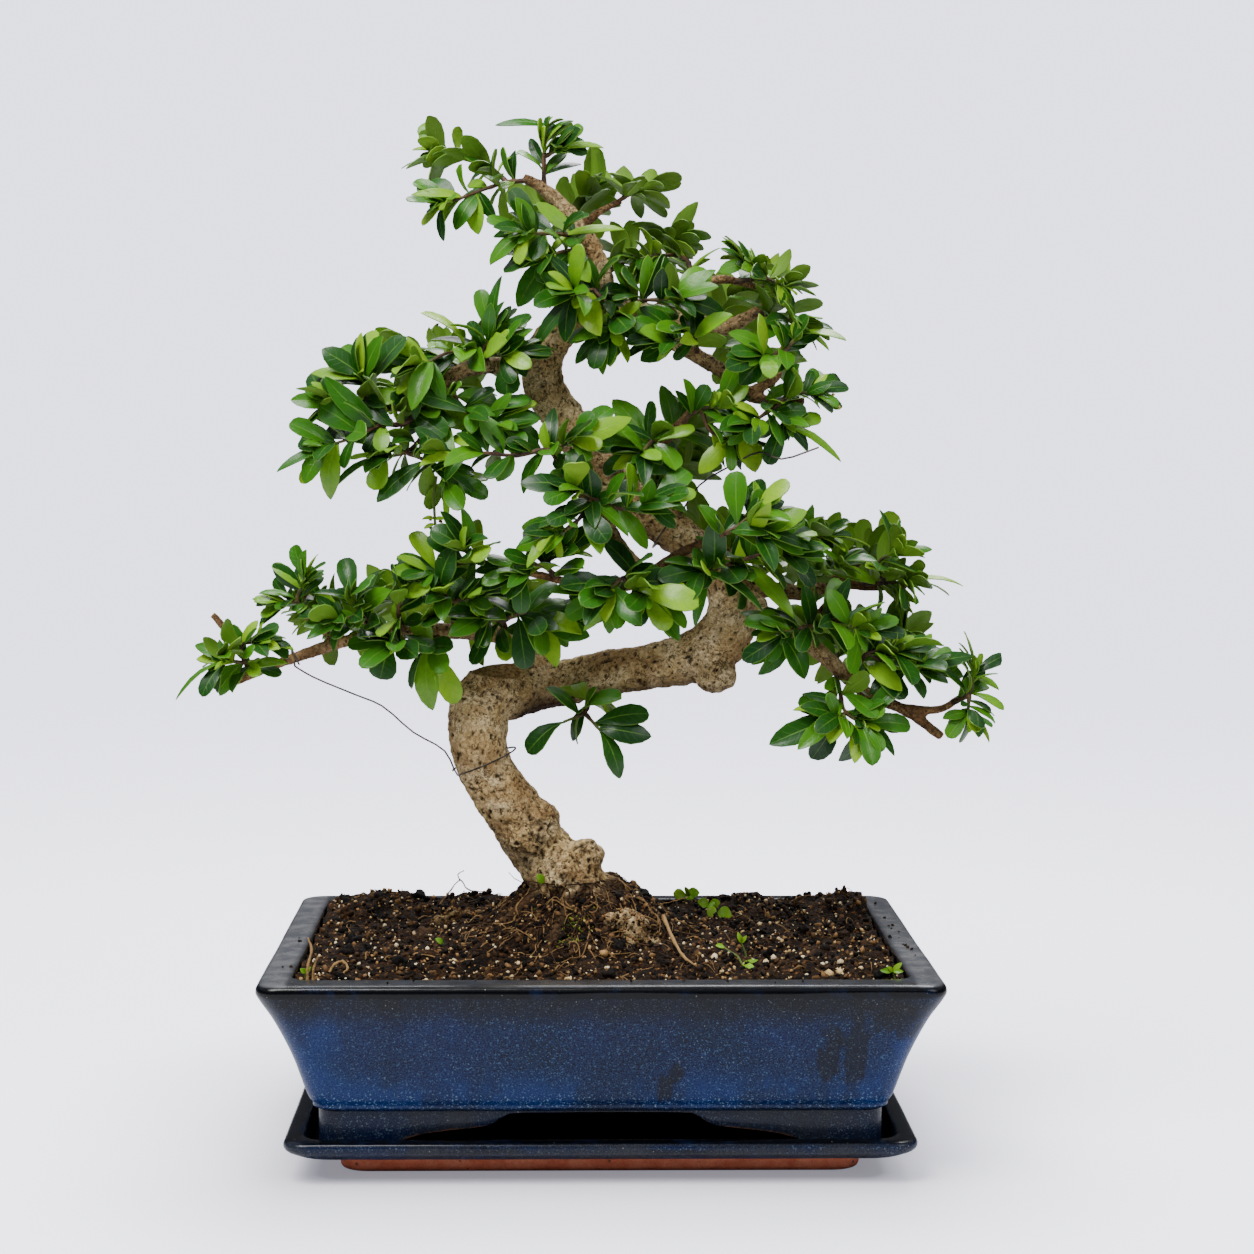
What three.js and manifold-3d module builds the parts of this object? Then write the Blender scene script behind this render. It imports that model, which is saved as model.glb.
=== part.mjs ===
import * as THREE from 'three';
import * as BufferGeometryUtils from 'three/addons/utils/BufferGeometryUtils.js';
import Module from 'manifold-3d';

const wasm = await Module();
wasm.setup();

// Fukien tea bonsai in its glazed pot, on its drip saucer.
// Millimetres, +Z up, front towards -Y. The origin is the centre of the saucer's underside.

const gap = 0.3;

// Each profile row is [inset from the outline, height].
const pot = {
  length: 250,
  width: 187,
  corner: 8,
  outside: [
    [20.4, 9.9], [20.4, 25.2], [18.3, 26.3], [18.3, 28], [16.8, 30.5], [12.5, 45],
    [9, 54], [5, 62.5], [1.2, 69.3], [0, 71], [0, 74.6], [1.6, 76],
  ],
  inside: [[25.5, 27], [13.2, 64], [12.5, 80]],
  underside: [[28.5, 0], [28.5, 20]],
  drainHole: { x: 55, radius: 9 },
  archFront: [[76, 9.6], [64, 16], [51, 17.9], [45, 18.3], [34, 21.8], [26, 24.4]],
  archSide: [[42, 9.6], [34, 15.5], [24, 18], [15, 21.5], [9, 24]],
};

const saucer = {
  length: 233,
  width: 170,
  corner: 9,
  outside: [[22.6, 0], [19.6, 1.4], [19.2, 5.2], [5.6, 8.8], [1.2, 11.4], [0, 13.8], [1.4, 16]],
  inside: [[10.2, 9.6], [8, 12.6], [6.8, 20]],
};

const screen = { size: 28, thick: 1.4, hole: 8.6, pitch: 12, lift: 27 + gap };

const soil = {
  level: 73.2,
  ripple: 0.8,
  rearBank: { rise: 2.4, from: 30, to: 70 },
  gather: 0.7,
  mound: { x: -8, y: 4, rise: 24, spreadX: 36, spreadY: 34 },
  cells: [14, 10],
};

const leafGreens = [0x2f6b2c, 0x3a7a2e, 0x4b8a33, 0x2a5f2e];

// The trunk and its main branches. A row is [x, y, z, radius].
const trunkLine = [
  [-6, 2, 58, 19], [-8, 1, 72, 18.5], [-8, 0, 84, 17], [-13, 0, 97, 14.4], [-23.5, 0, 111, 12.3],
  [-32.5, -1, 125, 11.8], [-43.5, -2, 141, 11], [-47.5, -2, 156, 11.4], [-45.5, 2, 169, 12.2],
  [-33, 9, 172.5, 10.8], [-19, 14, 174, 9.3], [0, 12, 178, 8.9], [22, 8, 182, 9.2], [38, 4, 186, 10.4],
  [48.5, 2, 194, 11.2], [52, 2, 207, 9.9], [46, 5, 220, 8.9], [35, 8, 230, 8.2], [20, 10, 241, 7.8],
  [6, 8, 253, 7.8], [-5, 4, 267, 8.2], [-15, 1, 280, 8.5], [-22, 0, 292.5, 7.9], [-21.5, 0, 305, 7.7],
  [-14, 2, 314, 7], [0, 5, 319, 6.4], [17, 6, 320, 5.4],
];

const limbs = {
  cutStub: [[-45, 0, 166, 9], [-44, 0, 173, 9.3], [-43, 0, 179.5, 8.2]],
  lowerLeft: [
    [-18, 8, 180, 4.6], [-37, 0, 194, 3.6], [-64, -10, 197, 3.2], [-87, -14, 196, 2.7],
    [-118, -18, 187, 2.1], [-143, -22, 177, 1.5],
  ],
  lowerLeftTwig: [[-100, -15, 193, 1.8], [-107, -15, 198, 1.6], [-115, -14, 207, 1.4], [-109, -14, 217, 1.2]],
  lowerLeftStub: [[-133, -20, 181, 1.7], [-138, -20, 192, 1.5], [-148, -20, 204, 1.4]],
  heart: [
    [43, 2, 219, 4.2], [20, -18, 217, 3.4], [9, -24, 228, 2.9], [2, -28, 239, 2.5],
    [-7, -28, 250, 2.1], [-17, -26, 264, 1.7],
  ],
  heartLeft: [[18, -17, 217, 2.4], [0, -24, 214, 2], [-20, -28, 219, 1.7], [-42, -30, 224, 1.4]],
  heartRight: [[18, -18, 219, 2.3], [30, -26, 228, 2], [42, -32, 234, 1.7], [57, -32, 243, 1.4]],
  kneeRight: [
    [52, 4, 212, 4.2], [67, 10, 212, 3.4], [83, 14, 211, 2.9], [95, 16, 216, 2.4], [103, 16, 223, 1.8],
  ],
  kneeRightLow: [[93, 15, 215, 2.2], [107, 15, 213, 1.8], [122, 14, 213.5, 1.5]],
  lowerRight: [
    [56, -1, 206, 5.2], [77, -8, 195, 3.7], [90, -12, 185, 3.2], [104, -14, 173, 2.6],
    [118, -16, 167, 2.1], [132, -18, 157, 1.9],
  ],
  lowerRightTip: [[116, -16, 168, 2], [131, -16, 167.5, 1.6], [139, -15, 172, 1.4], [148, -14, 179, 1.2]],
  lowerRightUp: [[77, -8, 195, 2.2], [85, -8, 204, 1.8], [92, -6, 211, 1.4]],
  middleLeft: [
    [-22, 0, 300, 4.2], [-39, -8, 299, 3.3], [-51, -12, 298, 3], [-61.5, -14, 291, 2.6],
    [-67, -15, 285, 2.3], [-80, -16, 283, 1.8], [-88, -16, 285, 1.4],
  ],
  middleRight: [[-3, 2, 262, 3.6], [17, -8, 265, 2.8], [29, -14, 275.5, 2.1], [35, -16, 283, 1.5]],
  upperRight: [
    [10, 6, 320, 5.4], [33, 8, 317, 4.2], [48, 10, 314.5, 3.3], [57, 10, 318.5, 2.6], [66, 8, 324, 1.9],
  ],
  upperRightLow: [
    [15, 4, 319, 4], [31, -4, 307, 3.5], [47, -10, 297, 3], [57, -14, 288, 2.6],
    [65, -14, 286, 2], [78, -14, 286, 1.5],
  ],
  upperRightFork: [[56, -14, 289, 2.1], [67, -14, 295, 1.8], [68.5, -13, 304, 1.5], [72, -12, 310.5, 1.2]],
  upperRightTop: [[20, 6, 320, 2.6], [34, 4, 329, 2.1], [47, 2, 333, 1.8], [63, 0, 329.5, 1.4]],
  apex: [
    [-4, 4, 317, 5.6], [1, 2, 329, 4.9], [-7, 0, 350, 3.9], [-17, -2, 362, 3.2],
    [-24, -3, 368, 2.5], [-30, -4, 371, 1.9],
  ],
  apexRight: [[-8, 0, 352, 1.9], [0, 2, 359, 1.5], [8, 4, 363, 1.2]],
};

// Swellings of the old wood: [x, y, z, radius].
const burls = [
  [-27, -4, 116.5, 11.8], [-6, -2, 107.5, 8.3], [-5, -3, 101, 7], [-15, -9, 100, 7.5],
  [45.5, -1, 180, 8.5], [60, -2, 206, 6.2],
];

// How uneven the skin is, as a part of the radius, and the radius past which a limb has five sides.
const skin = { trunk: 0.07, stub: 0.08, thickLimb: 3 };

// Surface roots, that flow out of the foot of the trunk over the mound.
const roots = [
  [[-2, -6, 95, 5], [6, -13, 89, 3.4], [12, -18, 84, 2.5], [15, -23, 80, 1.8], [16, -29, 76, 1.2]],
  [[-10, -8, 96, 5.5], [-13, -17, 90, 4], [-17, -27, 82, 2.6], [-20, -38, 75, 1.4]],
  [[-16, -4, 97, 6], [-27, -8, 90, 4], [-38, -13, 82, 2.6], [-50, -18, 74, 1.4]],
  [[-4, -8, 96, 4.5], [0, -20, 88, 3], [3, -30, 80, 2.2], [8, -42, 74, 1.2]],
  [[0, -1, 97, 5], [6, -2, 95, 4.2], [11, -1, 91, 3.4], [18, 2, 85, 2.4], [30, 4, 77, 1.4]],
  [[-8, 10, 99, 6], [-12, 22, 92, 4], [-20, 35, 82, 2.6], [-26, 47, 74, 1.4]],
  [[4, 10, 96, 5], [14, 22, 87, 3.4], [22, 34, 78, 2.2], [27, 44, 73, 1.3]],
];

// Leafy sprays. size is the usual leaf length.
// shoots: routes, of which the first starts in a branch and the others on the first.
// leaves: the big leaves, each [shoot, place along it, reach in X, Y and Z, width].
const sprays = {
  apex_crown: {
    size: 11,
    shoots: [[[-22, -3, 366], [-22, -3, 380], [-21, -3, 391]], [[-22, -3, 379], [-15, -9, 382]]],
    leaves: [
      [0, 1, -19, -3, 2, 3.4], [0, 1, 10, -5, 7, 3.4], [0, 0.6, -4, -5, 12, 5.5], [0, 0.57, 7, -7, 9, 4.7],
      [1, 1, 15, -4, 2, 3.4], [1, 0.65, 12, 1, -1, 3.4],
    ],
  },
  apex_left: {
    size: 13,
    shoots: [
      [[-27, -4, 370], [-36, -6, 369], [-42, -9, 367], [-52, -12, 363], [-62, -14, 359]],
      [[-36, -6, 369], [-45, 2, 377], [-55, 5, 380], [-63, 4, 380]],
    ],
    leaves: [
      [1, 0.31, -8, -3, 12, 4.7], [1, 0.45, -16, -6, 5, 4.3], [1, 0.8, -12, -6, 0, 6.6],
      [0, 0.74, -18, -5, 3, 3.9], [0, 0.6, 1, -5, -16, 7],
    ],
  },
  apex_right: {
    size: 13,
    shoots: [[[4, 3, 361], [10, 5, 365], [16, 7, 367]]],
    leaves: [[0, 0.8, -9, -3, 9, 7.8], [0, 0.5, -12, -9, 8, 4.7]],
  },
  apex_front: {
    size: 14,
    shoots: [[[-6, 0, 349], [-16, -12, 349], [-29, -18, 349]]],
    leaves: [[0, 1, -14, -3, -11, 7.8], [0, 0.4, 22, -9, 2, 3.6]],
  },
  apex_low: {
    size: 15,
    shoots: [[[-4, 0, 342], [-13, -10, 343], [-21, -15, 340]]],
    leaves: [[0, 0.93, -13, -3, -18, 8.6], [0, 0.8, -4, -6, -16, 4.9], [0, 0.55, 8, -7, -12, 7]],
  },
  apex_back: {
    size: 14,
    shoots: [
      [[-10, 0, 354], [-11, 18, 357], [-6, 34, 362]], [[-11, 18, 357], [-24, 30, 359]],
      [[-11, 18, 357], [-2, 20, 368]],
    ],
    leaves: [],
  },
  shoulder: {
    size: 15,
    shoots: [[[0, 2, 334], [15, 10, 343], [28, 12, 347]]],
    leaves: [[0, 0.45, -21, -6, 9, 8.6], [0, 1, -15, -6, 10, 7]],
  },
  crown_front: {
    size: 15,
    shoots: [
      [[0, 3, 325], [-3, -14, 328], [-12, -22, 325]], [[-3, -14, 328], [5, -17, 318], [2, -19, 310]],
    ],
    leaves: [[0, 0.6, -27, -3, -19, 9.4], [1, 0.7, 10, -6, 7, 4.7], [1, 1, 0, -7, -9, 7.8]],
  },
  crown_mid: {
    size: 16,
    shoots: [[[12, 5, 320], [16, -12, 324], [28, -18, 324]]],
    leaves: [[0, 0.7, 20, -3, 4, 8.6]],
  },
  top_up: {
    size: 10,
    shoots: [[[36, 4, 330], [33, 6, 341], [21, 4, 342], [13, 2, 340]]],
    leaves: [],
  },
  top_right: {
    size: 11,
    shoots: [[[52, 1, 332], [64, -4, 333], [71, -8, 329]], [[64, -4, 333], [54, -8, 340]]],
    leaves: [[1, 1, -8, -5, 7, 3.6]],
  },
  right_high: {
    size: 14,
    shoots: [[[59, 9, 320], [69, 2, 319], [76, -6, 315]]],
    leaves: [[0, 0.35, -15, -8, 9, 4.9]],
  },
  right_mid: {
    size: 14,
    shoots: [[[66, -14, 300], [71, -17, 306], [76, -15, 312]], [[71, -17, 306], [60, -22, 301]]],
    leaves: [[0, 1, 17, -5, 0, 7.8], [1, 0.9, 2, -6, 16, 7.8], [1, 0.9, -8, -8, -8, 7.8]],
  },
  right_low: {
    size: 13,
    shoots: [
      [[61, -14, 287], [65, -20, 283], [71, -22, 276]], [[65, -20, 283], [74, -22, 289], [82, -20, 288]],
      [[65, -20, 283], [55, -24, 276]],
    ],
    leaves: [[0, 0.62, 10, -6, 2, 6.2], [0, 0.94, 22, -5, -9, 3.9]],
  },
  right_inner: {
    size: 15,
    shoots: [[[37, -6, 303], [35, -16, 310], [25, -20, 308]]],
    leaves: [[0, 0.82, -14, -3, -7, 7.8], [0, 0.5, 14, -9, 9, 7]],
  },
  right_back: {
    size: 15,
    shoots: [
      [[44, 9, 316], [49, 26, 319], [60, 42, 323]], [[49, 26, 319], [57, 36, 309], [66, 36, 301]],
      [[49, 26, 319], [38, 40, 322]], [[49, 26, 319], [62, 24, 328]],
    ],
    leaves: [],
  },
  mid_tip: {
    size: 14,
    shoots: [
      [[30, -15, 277], [38, -19, 283], [46, -21, 283]],
      [[38, -19, 283], [42, -18, 274], [51, -16, 271]],
    ],
    leaves: [[0, 0.4, 4, -8, 10, 6.2], [1, 0.91, -12, -5, -13, 7], [1, 1, 5, -6, -9, 5.5]],
  },
  mid_fork: {
    size: 15,
    shoots: [
      [[18, -8, 266], [20, -20, 271], [14, -28, 265]], [[20, -18, 271], [30, -4, 272], [36, 12, 276]],
    ],
    leaves: [[0, 0.5, -18, -6, 8, 5.5], [0, 1, 12, -6, -5, 8.6]],
  },
  left_high: {
    size: 15,
    shoots: [
      [[-42, -8, 299], [-45, -14, 305], [-40, -17, 311]], [[-45, -14, 304], [-35, -20, 302]],
      [[-45, -14, 304], [-57, -20, 304], [-69, -23, 298]],
    ],
    leaves: [
      [0, 1, -2, -3, 21, 5.5], [1, 0.8, 17, -4, 4, 6.2], [1, 1, -1, -5, -14, 9.4],
      [0, 0.5, -20, -4, 4, 6.2], [0, 0.7, -13, -5, 10, 6.2],
    ],
  },
  left_end: {
    size: 17,
    shoots: [
      [[-85, -16, 284], [-88, -21, 288], [-91, -22, 295]],
      [[-88, -21, 288], [-93, -26, 281], [-102, -26, 284]],
    ],
    leaves: [[0, 1, -14, -3, 10, 8.6], [0, 0.5, 12, -4, 22, 11.7], [1, 1, -14, -3, -8, 3.9]],
  },
  left_low: {
    size: 15,
    shoots: [[[-69, -15, 285], [-74, -24, 277], [-84, -28, 276], [-92, -30, 272], [-104, -30, 268]]],
    leaves: [
      [0, 0.55, -19, -5, 18, 7.8], [0, 0.45, -7, -8, 19, 8.6], [0, 1, -18, -3, -9, 3.9],
      [0, 1, -8, -4, -13, 7], [0, 0.71, -7, -6, -10, 6.2],
    ],
  },
  left_under: {
    size: 14,
    shoots: [
      [[-62, -14, 291], [-66, -20, 275], [-74, -26, 266], [-84, -28, 264]],
      [[-74, -26, 266], [-65, -28, 262], [-58, -27, 254]],
    ],
    leaves: [
      [0, 1, -19, -3, -8, 3.9], [0, 0.92, -5, -7, -12, 7.8], [1, 0.4, -18, -6, -15, 7.8],
      [1, 0.5, 19, -4, -12, 5.5], [1, 1, 0, -2, -14, 3.4],
    ],
  },
  left_inner: {
    size: 15,
    shoots: [[[-58, -13, 292], [-52, -22, 282], [-38, -24, 276]]],
    leaves: [[0, 0.6, -20, -5, 8, 7.8], [0, 0.7, 18, -4, 8, 8.6]],
  },
  left_back: {
    size: 15,
    shoots: [
      [[-51, -12, 298], [-58, 8, 297], [-68, 28, 294], [-80, 38, 288]], [[-58, 8, 297], [-44, 26, 301]],
      [[-68, 28, 294], [-62, 44, 296]], [[-58, 8, 297], [-76, 14, 302]],
    ],
    leaves: [],
  },
  centre_tip: {
    size: 14,
    shoots: [
      [[-16, -26, 262], [-20, -31, 267], [-32, -33, 265], [-46, -32, 266], [-59, -30, 265]],
      [[-20, -31, 267], [-9, -36, 271]],
    ],
    leaves: [[1, 0.6, 24, -5, 10, 7.8], [0, 0.82, -9, -6, -8, 4.7]],
  },
  centre_front: {
    size: 15,
    shoots: [
      [[-1, -28, 243], [-4, -37, 249], [-10, -40, 253]], [[-4, -37, 249], [-9, -43, 241], [-17, -42, 235]],
      [[-4, -37, 249], [9, -38, 245], [20, -38, 247]],
    ],
    leaves: [
      [0, 0.5, -1, -8, 12, 7.8], [0, 1, -20, -3, 3, 8.6], [1, 0.5, -19, -3, 1, 6.2],
      [1, 0.9, -16, -3, -3, 5.5], [2, 0.5, 18, -5, 0, 5.5],
    ],
  },
  centre_back: {
    size: 15,
    shoots: [
      [[16, 10, 245], [19, 30, 250], [28, 48, 254]], [[19, 30, 250], [4, 44, 256]],
      [[19, 30, 250], [34, 30, 260]],
    ],
    leaves: [],
  },
  heart_left: {
    size: 13,
    shoots: [
      [[-38, -30, 223], [-47, -28, 225], [-57, -26, 223], [-67, -26, 219]],
      [[-47, -28, 225], [-52, -36, 230]],
    ],
    leaves: [],
  },
  heart_mid_left: {
    size: 14,
    shoots: [[[-16, -27, 218], [-23, -34, 224], [-31, -36, 221]], [[-23, -34, 224], [-14, -38, 229]]],
    leaves: [],
  },
  heart_front: {
    size: 17,
    shoots: [[[18, -18, 216], [8, -32, 219], [2, -37, 213]], [[8, -32, 219], [16, -38, 212]]],
    leaves: [
      [0, 0.63, -18, -4, -13, 9], [0, 0.8, -10, -7, -16, 5.5], [1, 0.9, 10, -6, -12, 7.8],
      [1, 0.5, 2, -8, -13, 7.8],
    ],
  },
  heart_right: {
    size: 15,
    shoots: [[[40, -31, 233], [50, -37, 238], [58, -38, 245]], [[50, -37, 238], [61, -40, 236]]],
    leaves: [[0, 0.96, 12, -5, 10, 3.9]],
  },
  knee_back: {
    size: 15,
    shoots: [
      [[50, 6, 219], [50, 26, 226], [58, 42, 229]], [[50, 26, 226], [38, 42, 232]],
      [[50, 26, 226], [64, 24, 236]],
    ],
    leaves: [],
  },
  knee_fork: {
    size: 15,
    shoots: [[[48, 3, 217], [52, -15, 224], [70, -24, 230]], [[52, -15, 224], [38, -30, 221]]],
    leaves: [
      [1, 0.95, -3, -9, -18, 4.7], [0, 1, 11, -4, -14, 6.2], [0, 0.5, 22, -9, -19, 7.8],
      [1, 1, 24, -6, -11, 7],
    ],
  },
  knee_high: {
    size: 15,
    shoots: [[[57, 5, 212], [68, 5, 224], [73, 1, 234], [88, -3, 233]]],
    leaves: [
      [0, 0.6, -18, -3, 20, 3.9], [0, 0.55, 1, -9, 10, 5.5], [0, 0.4, 5, -7, -18, 8.6],
      [0, 1, -2, -7, 8, 3.4], [0, 0.75, 12, -6, -5, 4.7],
    ],
  },
  right_upper_tip: {
    size: 13,
    shoots: [[[103, 15, 214], [112, 6, 215], [121, 2, 216]], [[112, 6, 215], [109, 3, 223], [115, 1, 228]]],
    leaves: [
      [0, 0.4, 2, -6, -10, 5.5], [0, 0.6, 6, -6, -8, 4.7], [0, 0.98, 20, -4, 4, 3.4],
      [1, 1, 3, -6, 10, 5.1],
    ],
  },
  right_upper_mid: {
    size: 14,
    shoots: [[[79, 13, 211], [82, 0, 220], [93, -6, 222]]],
    leaves: [[0, 1, -6, -7, 7, 4.7]],
  },
  right_upper_back: {
    size: 15,
    shoots: [
      [[86, 14, 212], [92, 30, 218], [103, 44, 222]], [[92, 30, 218], [78, 42, 223]],
      [[92, 30, 218], [110, 26, 226]],
    ],
    leaves: [],
  },
  lower_right_top: {
    size: 15,
    shoots: [
      [[80, -9, 193], [82, -17, 200], [92, -21, 202], [100, -25, 198]],
      [[82, -17, 200], [69, -23, 197]],
    ],
    leaves: [[1, 1, 10, -6, -15, 9.4], [0, 1, 12, -5, 6, 4.7], [0, 0.8, -8, -5, 14, 7.8]],
  },
  lower_right_mid: {
    size: 15,
    shoots: [
      [[97, -13, 179], [103, -22, 190], [114, -25, 191]],
      [[103, -22, 190], [115, -21, 182], [124, -23, 184]],
    ],
    leaves: [
      [0, 0.54, 20, -8, 1, 3.9], [0, 0.9, 12, -5, -3, 5.5], [1, 0.7, -14, -7, -5, 7.8],
      [1, 1, 9, -5, 6, 5.4],
    ],
  },
  lower_right_down: {
    size: 16,
    shoots: [
      [[90, -12, 185], [92, -18, 176], [94, -25, 167], [101, -28, 163]], [[94, -25, 167], [88, -29, 165]],
    ],
    leaves: [
      [0, 0.6, -16, -4, 5, 3.9], [0, 0.9, 9, -7, 5, 6.2], [1, 1, -24, -3, -9, 8.6],
      [1, 0.7, -8, -6, -15, 8.6],
      [0, 1, -7, -3, -15, 9.4], [0, 1, 6, -7, -9, 5.9],
    ],
  },
  lower_right_tip: {
    size: 12,
    shoots: [[[136, -16, 170], [142, -20, 174], [144, -18, 182]], [[142, -20, 174], [141, -23, 166]]],
    leaves: [
      [1, 0.8, 10, -4, -9, 5.9], [0, 0.5, 13, -5, -3, 4.3], [0, 1, 3, -5, 6, 6.2],
      [0, 0.9, 10, -3, -3, 3.4],
    ],
  },
  lower_right_back: {
    size: 15,
    shoots: [
      [[90, -12, 186], [98, 12, 188], [112, 34, 184]], [[98, 12, 188], [86, 30, 192]],
      [[98, 12, 188], [120, 8, 192]],
    ],
    leaves: [],
  },
  lower_left_end: {
    size: 12,
    shoots: [
      [[-130, -20, 182], [-135, -27, 186], [-143, -29, 187]],
      [[-135, -27, 186], [-136, -27, 193], [-128, -31, 194]],
    ],
    leaves: [
      [0, 0.94, -21, -3, -9, 3.4], [0, 1, -8, -6, -3, 3.9], [0, 1, -3, -5, -11, 4.7],
      [0, 0.4, -6, -8, -9, 6.2],
      [1, 0.9, 12, -4, 1, 3.9], [0, 0.35, 14, -7, 3, 4.7], [1, 0.5, 5, -7, 7, 3.4],
    ],
  },
  lower_left_up: {
    size: 10,
    shoots: [[[-110, -14, 203], [-116, -18, 209], [-112, -19, 218]], [[-116, -18, 209], [-122, -19, 208]]],
    leaves: [[0, 0.5, -13, -5, 5, 4.7], [1, 0.8, -8, -5, -5, 5.1], [0, 1, 2, -4, 10, 3.4]],
  },
  lower_left_mid: {
    size: 13,
    shoots: [[[-87, -14, 195], [-91, -22, 204], [-94, -24, 210]], [[-91, -22, 204], [-100, -27, 202]]],
    leaves: [[1, 0.7, -15, -4, -2, 5.5], [0, 1, 5, -6, 11, 4.7]],
  },
  lower_left_front: {
    size: 13,
    shoots: [[[-75, -12, 196], [-77, -24, 206], [-74, -28, 216]]],
    leaves: [[0, 0.6, 12, -6, 9, 5]],
  },
  lower_left_rear: {
    size: 14,
    shoots: [
      [[-87, -13, 196], [-96, 4, 200], [-110, 14, 200]], [[-96, 4, 200], [-90, 16, 205]],
      [[-96, 4, 200], [-108, -2, 207]],
    ],
    leaves: [],
  },
  lower_left_big: {
    size: 15,
    shoots: [[[-62, -10, 197], [-67, -19, 190], [-80, -24, 194]]],
    leaves: [
      [0, 0.9, 15, -4, -1, 8.6], [0, 1, -4, -3, -14, 10.1], [0, 0.4, 0, -5, -23, 9.4],
      [0, 0.4, 12, -6, -19, 8.6],
    ],
  },
  lower_left_centre: {
    size: 14,
    shoots: [[[-56, -7, 198], [-58, -22, 209], [-61, -27, 216]], [[-58, -22, 209], [-47, -28, 211]]],
    leaves: [],
  },
  lower_left_inner: {
    size: 15,
    shoots: [
      [[-37, 0, 194], [-38, -14, 201], [-46, -21, 203]],
      [[-38, -14, 201], [-29, -23, 205], [-20, -22, 200]],
    ],
    leaves: [[0, 0.6, -12, -9, -13, 7], [1, 0.4, 3, -7, -19, 8.6], [1, 0.7, 14, -5, 5, 5.5]],
  },
  lower_left_back: {
    size: 15,
    shoots: [
      [[-46, -4, 197], [-50, 16, 203], [-68, 34, 206], [-86, 37, 205]], [[-50, 16, 203], [-34, 38, 208]],
      [[-68, 34, 206], [-64, 50, 208]], [[-50, 16, 203], [-70, 12, 210]],
    ],
    leaves: [],
  },
  trunk_under: {
    size: 16,
    shoots: [[[-4, 9, 171], [-6, -6, 165], [-14, -12, 162]], [[-6, -6, 165], [0, -14, 159]]],
    leaves: [
      [0, 1, -15, -4, -9, 9.4], [0, 0.7, -10, -9, 13, 7.6], [1, 0.6, 20, -5, 6, 8.6],
      [1, 1, 10, -3, -17, 7.8],
      [1, 0.9, 19, -6, -1, 8.6],
    ],
  },
};

// A guy wire is one line: a turn round the wood, the run, and for some a second turn.
// A turn starts on the side of its centre that start points to.
const wireRadius = 0.4;
const wireTurn = { steps: 11, angle: Math.PI * 1.9, climb: 0.3 };
const guyWires = {
  guy_wire_left: {
    firstTurn: { centre: [-44.6, -2, 145], axis: [-0.37, 0, 0.93], radius: 13, start: [-1, -0.5, 0] },
    run: [[-60, -11, 150], [-72, -13, 158.5], [-84, -15, 168], [-94, -17, 173.5], [-110, -19, 179.5]],
    lastTurn: { centre: [-118, -18, 187], axis: [0.94, 0.13, 0.32], radius: 3.1, start: [0.2, 0, -1] },
  },
  guy_wire_right: {
    firstTurn: { centre: [27.5, 9, 235.6], axis: [-0.8, 0.08, 0.6], radius: 9.6, start: [0.5, -0.7, 0.6] },
    run: [[38, -10, 253], [50, -20, 262], [60, -27, 266], [68, -29, 264.5], [82, -31, 268]],
  },
};

function vector(row) {
  return new THREE.Vector3(row[0], row[1], row[2]);
}

// Shapes

function toSolid(geometry) {
  const bare = geometry.clone();
  bare.deleteAttribute('normal');
  bare.deleteAttribute('uv');
  const merged = BufferGeometryUtils.mergeVertices(bare, 1e-3);
  return new wasm.Manifold(new wasm.Mesh({
    numProp: 3,
    vertProperties: new Float32Array(merged.attributes.position.array),
    triVerts: new Uint32Array(merged.index.array),
  }));
}

function toGeometry(solid) {
  const mesh = solid.getMesh();
  const geometry = new THREE.BufferGeometry();
  geometry.setAttribute('position', new THREE.BufferAttribute(mesh.vertProperties, 3));
  geometry.setIndex(new THREE.BufferAttribute(mesh.triVerts, 1));
  geometry.computeVertexNormals();
  return geometry;
}

function join(solids) {
  return solids.reduce((sum, solid) => sum.add(solid));
}

// The largest body, without loose scraps and with points closer than a micrometre merged.
function largestBody(solid) {
  const bodies = toSolid(toGeometry(solid)).decompose();
  return bodies.reduce((best, body) => (body.volume() > best.volume() ? body : best));
}

function box(size, centre) {
  const geometry = new THREE.BoxGeometry(...size);
  geometry.translate(...centre);
  return toSolid(geometry);
}

function roundedRectangle(length, width, corner) {
  const x = length / 2;
  const y = width / 2;
  const shape = new THREE.Shape();
  shape.moveTo(x, corner - y);
  shape.lineTo(x, y - corner);
  shape.absarc(x - corner, y - corner, corner, 0, Math.PI / 2);
  shape.lineTo(corner - x, y);
  shape.absarc(corner - x, y - corner, corner, Math.PI / 2, Math.PI);
  shape.lineTo(-x, corner - y);
  shape.absarc(corner - x, corner - y, corner, Math.PI, Math.PI * 1.5);
  shape.lineTo(x - corner, -y);
  shape.absarc(x - corner, corner - y, corner, Math.PI * 1.5, Math.PI * 2);
  return shape;
}

// A round-cornered rectangular body whose wall follows a profile of [inset, height] rows.
function tray(size, profile, spread = 0) {
  const shape = roundedRectangle(size.length, size.width, size.corner);
  const last = profile.length - 1;
  const geometry = new THREE.ExtrudeGeometry(shape, {
    depth: 1, steps: last, bevelEnabled: false, curveSegments: 2,
  });
  const place = geometry.attributes.position;
  for (let i = 0; i < place.count; i += 1) {
    const [inset, height] = profile[Math.round(place.getZ(i) * last)];
    const x = place.getX(i);
    const y = place.getY(i);
    place.setXYZ(i, x - Math.sign(x) * (inset + spread), y - Math.sign(y) * (inset + spread), height);
  }
  return toSolid(geometry);
}

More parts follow.
